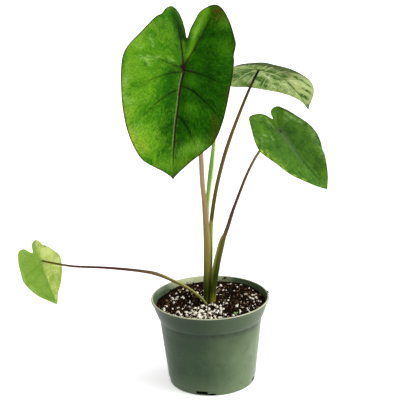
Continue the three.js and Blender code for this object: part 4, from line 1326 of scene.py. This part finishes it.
def makeScatterTree():
    # grains of a few shapes strewn over a surface, each turned and sized at random
    sizes = ("Spacing", "Density", "Smallest", "Largest", "Crowding", "Sink")
    sockets = {"Surface": "Geometry", "Grains": "Collection", **dict.fromkeys(sizes, "Float"),
               "Seed": "Int", "Material": "Material"}
    tree, entry = startTree("grainsOnSurface", sockets, "Strewn")
    share = addNode(tree, "GeometryNodeInputNamedAttribute", {0: "share"}, data_type="FLOAT")
    inputs = {"Mesh": entry["Surface"], "Distance Min": entry["Spacing"], "Seed": entry["Seed"],
              "Density Max": entry["Density"], "Density Factor": share.outputs[0]}
    strewn = addNode(
        tree, "GeometryNodeDistributePointsOnFaces", inputs, distribute_method="POISSON"
    )
    down = addNode(tree, "ShaderNodeVectorMath", {0: strewn.outputs["Normal"]}, operation="SCALE")
    tree.links.new(entry["Sink"], down.inputs["Scale"])
    inputs = {"Geometry": strewn.outputs[0], "Offset": down.outputs[0]}
    sunk = addNode(tree, "GeometryNodeSetPosition", inputs).outputs[0]
    grains = addNode(tree, "GeometryNodeCollectionInfo", {0: entry["Grains"], 1: True, 2: True})
    turned = addNode(tree, "FunctionNodeRandomValue", data_type="FLOAT_VECTOR")
    turned.inputs["Max"].default_value = (6.2832, 6.2832, 6.2832)
    tree.links.new(entry["Seed"], turned.inputs["Seed"])
    chance = addNode(tree, "FunctionNodeRandomValue", {"Seed": entry["Seed"]}, data_type="FLOAT")
    skewed = sums(tree, "POWER", chance.outputs[1], entry["Crowding"])
    inputs = {0: skewed, 3: entry["Smallest"], 4: entry["Largest"]}
    sized = addNode(tree, "ShaderNodeMapRange", inputs)
    inputs = {"Points": sunk, "Instance": grains.outputs[0], "Pick Instance": True,
              "Rotation": turned.outputs[0], "Scale": sized.outputs[0]}
    placed = addNode(tree, "GeometryNodeInstanceOnPoints", inputs).outputs[0]
    return endTree(tree, entry, placed)


grainForms = {
    "perlite": {
        "shapes": [((1, 0.8, 0.75), 0.7, 1), ((1, 0.6, 0.7), 0.8, 5), ((0.9, 0.9, 0.6), 0.75, 9)],
        "segments": (8, 6),
        "inputs": {"Spacing": 0.0017, "Density": 330000.0, "Smallest": 0.0004, "Largest": 0.0026,
                   "Crowding": 1.9, "Sink": 0.0001, "Seed": 4},
        "look": {"roughness": 0.9, "patch": 300.0, "skin": 900.0, "relief": 0.5, "pits": 0.18,
                 "first": rgb(255, 253, 244), "second": rgb(254, 243, 218),
                 "pit": rgb(150, 112, 66)},
    },
    "crumbs": {
        "shapes": [((1, 0.8, 0.7), 0.6, 2), ((1, 0.6, 0.6), 0.6, 7), ((0.8, 0.9, 0.6), 0.6, 12)],
        "segments": (6, 4),
        "inputs": {"Spacing": 0.0013, "Density": 240000.0, "Smallest": 0.0005, "Largest": 0.0017,
                   "Crowding": 1.5, "Sink": 0.0001, "Seed": 8},
        "look": {"roughness": 0.9, "patch": 260.0, "skin": 800.0, "relief": 0.6, "pits": 0.6,
                 "first": rgb(58, 38, 22), "second": rgb(19, 11, 6), "pit": rgb(7, 4, 2),
                 "specular": 0.06},
    },
    "bark": {
        "shapes": [((1, 0.42, 0.16), 0.25, 3), ((1, 0.25, 0.2), 0.3, 6), ((0.8, 0.5, 0.14),
        0.3, 8)],
        "segments": (8, 6),
        "inputs": {"Spacing": 0.0022, "Density": 52000.0, "Smallest": 0.0006, "Largest": 0.0032,
                   "Crowding": 2.0, "Sink": 0.0, "Seed": 15},
        "look": {"roughness": 0.8, "patch": 200.0, "skin": 700.0, "relief": 0.5, "pits": 0.6,
                 "first": rgb(172, 134, 92), "second": rgb(92, 60, 36), "pit": rgb(40, 26, 18),
                 "specular": 0.15},
    },
}


def strewGrains(name, form, soil, tree, share):
    box = bpy.data.collections.new(name + "Shapes")
    made = []
    around, high = form["segments"]
    for k, (stretch, ragged, seed) in enumerate(form["shapes"]):
        grain = bmesh.new()
        bmesh.ops.create_uvsphere(grain, u_segments=around, v_segments=high, radius=1)
        for vert in grain.verts:
            vert.co *= 1 + ragged * noise.noise(vert.co * 1.7 + Vector((seed, seed * 2, 0)))
            vert.co = Vector(a * b for a, b in zip(vert.co, stretch))
        mesh = meshFrom(name + "Shape", grain)
        mesh.polygons.foreach_set("use_smooth", [around > 6] * len(mesh.polygons))
        shape = bpy.data.objects.new(f"{name}Shape{k}", mesh)
        box.objects.link(shape)
        made.append(shape)
    ground = bmesh.new()
    ground.from_mesh(soil.data)
    low = [f for f in ground.faces if f.normal.z < 0.3 or f.calc_center_median().z < 0.094]
    bmesh.ops.delete(ground, geom=low, context="FACES")
    mesh = meshFrom(name, ground)
    layer = mesh.attributes.new("share", "FLOAT", "POINT")
    layer.data.foreach_set("value", [share(*(v.co.xy / mm)) for v in mesh.vertices])
    piece = addObject(name, mesh)
    material = grainMaterial(name + "Skin", form["look"])
    runTree(piece, tree, {**form["inputs"], "Grains": box, "Material": material})
    for shape in made:
        bpy.data.objects.remove(shape)
    bpy.data.collections.remove(box)
    return piece


stemBundle = {"centre": (-0.5, 8.5), "reach": (8.5, 10.5)}
grainEdge = 67.5  # no grain starts nearer to the wall
perliteHeaps = [(-23, -42, 21, 20, 1.1), (-1, -17, 11, 17, 0.6)]  # x, y, both widths, thickness


def clearOfStems(x, y):
    # 0 where the stalks stand and by the wall, 1 elsewhere
    (a, b), (wide, deep) = stemBundle["centre"], stemBundle["reach"]
    bundle = math.hypot((x - a) / wide, (y - b) / deep)
    return 0.0 if bundle < 1 or math.hypot(x, y) > grainEdge else 1.0


def perliteShare(x, y):
    # thickest in front of the stalks and at the front left
    thick = 0.0
    for a, b, wide, deep, most in perliteHeaps:
        thick += most * math.exp(-(((x - a) / wide) ** 2 + ((y - b) / deep) ** 2))
    clumps = max(0.0, 1 + 2.6 * noise.noise(Vector((x / 4.5, y / 4.5, 3.3))))
    return clearOfStems(x, y) * min(1.0, (0.16 + 0.0012 * x + thick) * clumps)


# scene

cameraSet = {"distance": 1.6, "elevation": 17.99, "roll": -1.61, "focalPixels": 1270,
             "aim": (0.00046, 0, 0.23424), "frame": 416}


def makeCamera(form):
    # the photograph's own view, 416 pixels wide
    tilt, roll = math.radians(form["elevation"]), math.radians(form["roll"])
    back = Vector((0, -math.cos(tilt), math.sin(tilt)))
    right = Vector((1, 0, 0))
    up = back.cross(right)
    rightward = right * math.cos(roll) + up * math.sin(roll)
    upward = up * math.cos(roll) - right * math.sin(roll)
    lens = bpy.data.cameras.new("photoCamera")
    lens.sensor_width = 36
    lens.lens = form["focalPixels"] / form["frame"] * lens.sensor_width
    lens.clip_start, lens.clip_end = 0.05, 50
    camera = addObject("photoCamera", lens)
    turn = Matrix((rightward, upward, back)).transposed().to_4x4()
    camera.matrix_world = Matrix.Translation(Vector(form["aim"]) + back * form["distance"]) @ turn
    bpy.context.scene.camera = camera


lightSet = {
    "world": 0.72, "worldGloss": 0.28, "slant": 0.72, "floorGlow": 0.5,
    "key": {"from": (0.95, -0.36, 0.66), "spreadAngle": 40, "strength": 1.9},
    "rim": {"from": (1.0, 0.55, 0.3), "spreadAngle": 30, "strength": 0.9},
}


def makeStage(form):
    floor = bpy.data.meshes.new("studioFloor")
    floor.from_pydata([(-8, -8, 0), (8, -8, 0), (8, 8, 0), (-8, 8, 0)], [], [(0, 1, 2, 3)])
    material, tree, shader, _ = newMaterial("paleFloor", 0.7, 0.2)
    where = objectSpace(tree)
    tone = blendColor(tree, cloud(tree, where, 3, 2.0), rgb(250, 250, 250), rgb(246, 246, 247))
    tree.links.new(tone, shader.inputs["Base Color"])
    # a light table: the floor glows a little, so the shadow on it stays faint
    shader.inputs["Emission Color"].default_value = (1, 1, 1, 1)
    outward = lengthOf(tree, where)
    glow = spread(tree, outward, 0, form["floorGlow"], 0.053, 0.056)
    tree.links.new(glow, shader.inputs["Emission Strength"])
    floor.materials.append(material)
    ground = addObject("studioFloor", floor)
    world = bpy.data.worlds.new("studio")
    world.use_nodes = True
    sky = world.node_tree
    shiny = addNode(sky, "ShaderNodeLightPath").outputs["Is Glossy Ray"]
    strength = spread(sky, shiny, form["world"], form["worldGloss"])
    # brighter from the right, as in the photograph
    look = addNode(sky, "ShaderNodeTexCoord").outputs["Generated"]
    across = addNode(sky, "ShaderNodeSeparateXYZ", {0: look}).outputs[0]
    slanted = spread(sky, across, 1 - form["slant"], 1 + form["slant"], -1, 1)
    strength = times(sky, strength, slanted)
    sky.nodes["Background"].inputs[0].default_value = (1, 1, 1, 1)
    sky.links.new(strength, sky.nodes["Background"].inputs[1])
    bpy.context.scene.world = world
    for name in ("key", "rim"):
        look = form[name]
        data = bpy.data.lights.new(name + "Light", "SUN")
        data.angle = math.radians(look["spreadAngle"])
        data.energy = look["strength"]
        light = addObject(name + "Light", data)
        light.location = look["from"]
        light.rotation_mode = "QUATERNION"
        light.rotation_quaternion = (-light.location).to_track_quat("-Z", "Y")
    bpy.context.scene.view_settings.view_transform = "Standard"


# small things on the mix

sproutForm = {
    "stem": [(32, -36, 101.5), (32.1, -36.2, 103.4), (32, -36, 105.4)],
    "thread": 0.55,
    "leaflets": [(10, 0.35), (175, 0.3)],  # turn and lean
    "top": (32, -36, 105.2),
    "look": {
        "roughness": 0.45, "patch": 500.0, "skin": 900.0, "relief": 0.1, "pits": 0.3,
        "first": rgb(168, 212, 134), "second": rgb(132, 194, 96), "pit": rgb(186, 220, 150),
    },
}


def makeSprout(form):
    # two seed leaves on a thread of a stem
    thread = form["thread"]
    points, faces = [], []
    around = np.arange(8) * np.pi / 4
    for x, y, z in smoothPath(form["stem"], np.linspace(0, 1, 7)):
        points += [(x + thread * math.cos(a), y + thread * math.sin(a), z) for a in around]
    for i in range(6):
        for k in range(8):
            a, b = i * 8 + k, i * 8 + (k + 1) % 8
            faces.append((a, b, b + 8, a + 8))
    faces.append(tuple(range(7, -1, -1)))
    faces.append(tuple(range(48, 56)))
    for turn, lean in form["leaflets"]:
        leaflet = bmesh.new()
        bmesh.ops.create_uvsphere(leaflet, u_segments=24, v_segments=14, radius=1)
        turned = Matrix.Rotation(math.radians(turn), 3, "Z") @ Matrix.Rotation(-lean, 3, "Y")
        start = len(points)
        for vert in leaflet.verts:
            x, y, z = vert.co
            dip = -0.25 * math.exp(-((y / 0.3) ** 2)) * (z > 0)
            flat = Vector((1.6 * x + 1.3, 1.6 * y * (1 - 0.18 * x), 0.4 * z + dip))
            points.append(tuple(turned @ flat + Vector(form["top"])))
        faces += [tuple(start + v.index for v in f.verts) for f in leaflet.faces]
        leaflet.free()
    return makePiece("seedling", points, faces, [grainMaterial("seedlingGreen", form["look"])])


# a dry scrap of an old sheath stands in the mix behind the stalks
dryScrap = {
    "open": (0.3, -1, 0.4),
    "path": [
        (8.2, 33.8, 102.5, 1.4, 1), (9.4, 33.6, 106.4, 1.8, 1), (11.2, 33.2, 109.4, 1.5, 1),
        (12.8, 32.8, 111.4, 0.6, 1),
    ],
    "look": {
        "roughness": 0.7, "streakShow": 0.5,
        "along": [(0.0, rgb(110, 78, 60)), (0.4, rgb(190, 158, 146)), (1.0, rgb(206, 176, 160))],
        "streak": rgb(140, 110, 100), "light": rgb(226, 200, 190), "inside": rgb(208, 178, 166),
    },
}
# crumbs of the mix that stuck to the wall and the rim: x, y, z and radius
strayCrumbs = [
    (19.3, 70.2, 111.4, 1.1), (20.9, 69.9, 112.8, 1.3), (22.9, 69.4, 112.2, 0.9),
    (17.2, 70.6, 110.2, 0.7),
    (29.2, 64.8, 105.9, 1.2), (13.6, 70.3, 108.8, 0.8), (26, 66.4, 107.6, 0.8),
    (74.9, 10.6, 114.6, 1.1),
    (75.2, 6.8, 114.5, 0.8), (74.3, 13.8, 114.5, 0.6), (-34, 61.6, 106.2, 1.1),
    (-41, 57.2, 106.8, 0.9),
    (-29, 65.2, 108.4, 0.7), (-52, 47.4, 106.4, 1.0), (-60, 36.5, 107.2, 0.8),
    (-22, 67.4, 107.4, 0.8),
]


def makeStrays(places, material):
    ground = bmesh.new()
    for x, y, z, radius in places:
        made = bmesh.ops.create_icosphere(ground, subdivisions=2, radius=radius * mm)["verts"]
        for vert in made:
            way = vert.co / (radius * mm)
            vert.co *= 1 + 0.5 * noise.noise(way * 1.4 + Vector((x, y, z)))
            vert.co += Vector((x, y, z)) * mm
    mesh = meshFrom("strayCrumbs", ground)
    mesh.materials.append(material)
    return addObject("strayCrumbs", mesh)


# making

tubeTree = makeTubeTree()
scatterTree = makeScatterTree()
for key in ("front", "back", "right", "low"):
    leaf, look = leafForms[key], leafLooks[key]
    veins = leafVeins(leaf)
    label = "leaf" + key.capitalize()
    blade = makeBlade(label + "Blade", leaf, veins, leafMaterial(label + "Skin", look))
    ribs = makeRibs(label + "Ribs", leaf, veins, tubeTree, ribMaterial(label + "Rib", look))
    blade = joinPieces([blade, ribs])
    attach(blade, "root")
    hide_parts(f"leaf_{key}_blade")
    stalk = stalkForms[key]
    material = stalkMaterial(label + "Fibres", stalk["look"])
    stem = sweepStalk(label + "Stalk", stalk, material, leaf)
    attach(stem, "root")
    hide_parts(f"leaf_{key}_stalk")
    print(label, len(blade.data.polygons), "faces and", len(stem.data.polygons), "on its stalk")

rolled = sweepStalk("rolledLeaf", rolledLeaf, stalkMaterial("rolledLeafSkin", rolledLeaf["look"]))
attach(rolled, "root")
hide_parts("rolled_leaf")
print("rolled leaf", len(rolled.data.polygons), "faces")

pot = makePot(potForm)
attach(pot, "root")
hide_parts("pot")
print("pot", len(pot.data.polygons), "faces")

soil = makeSoil(soilForm)
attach(soil, "root")
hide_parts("soil")
print("potting mix", len(soil.data.polygons), "faces")
for name, share in (("perlite", perliteShare), ("crumbs", clearOfStems), ("bark", clearOfStems)):
    grains = strewGrains(name, grainForms[name], soil, scatterTree, share)
    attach(grains, "root")
    print(name, len(grains.data.polygons), "faces")
scrap = sweepStalk("dryScrap", dryScrap, stalkMaterial("dryScrapSkin", dryScrap["look"]))
strays = makeStrays(strayCrumbs, grainMaterial("strayCrumbSkin", grainForms["crumbs"]["look"]))
for piece in (scrap, strays):
    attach(piece, "root")
    print(piece.name, len(piece.data.polygons), "faces")

sprout = makeSprout(sproutForm)
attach(sprout, "root")
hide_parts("sprout")
print("seedling", len(sprout.data.polygons), "faces")

cormLook = {"roughness": 0.9, "patch": 90.0, "skin": 400.0, "relief": 0.8, "pits": 0.7,
            "first": rgb(104, 78, 52), "second": rgb(72, 52, 36), "pit": rgb(40, 28, 20)}
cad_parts["corm"].data.materials.clear()
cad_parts["corm"].data.materials.append(grainMaterial("cormSkin", cormLook))

makeStage(lightSet)
makeCamera(cameraSet)
print("stage and camera set")
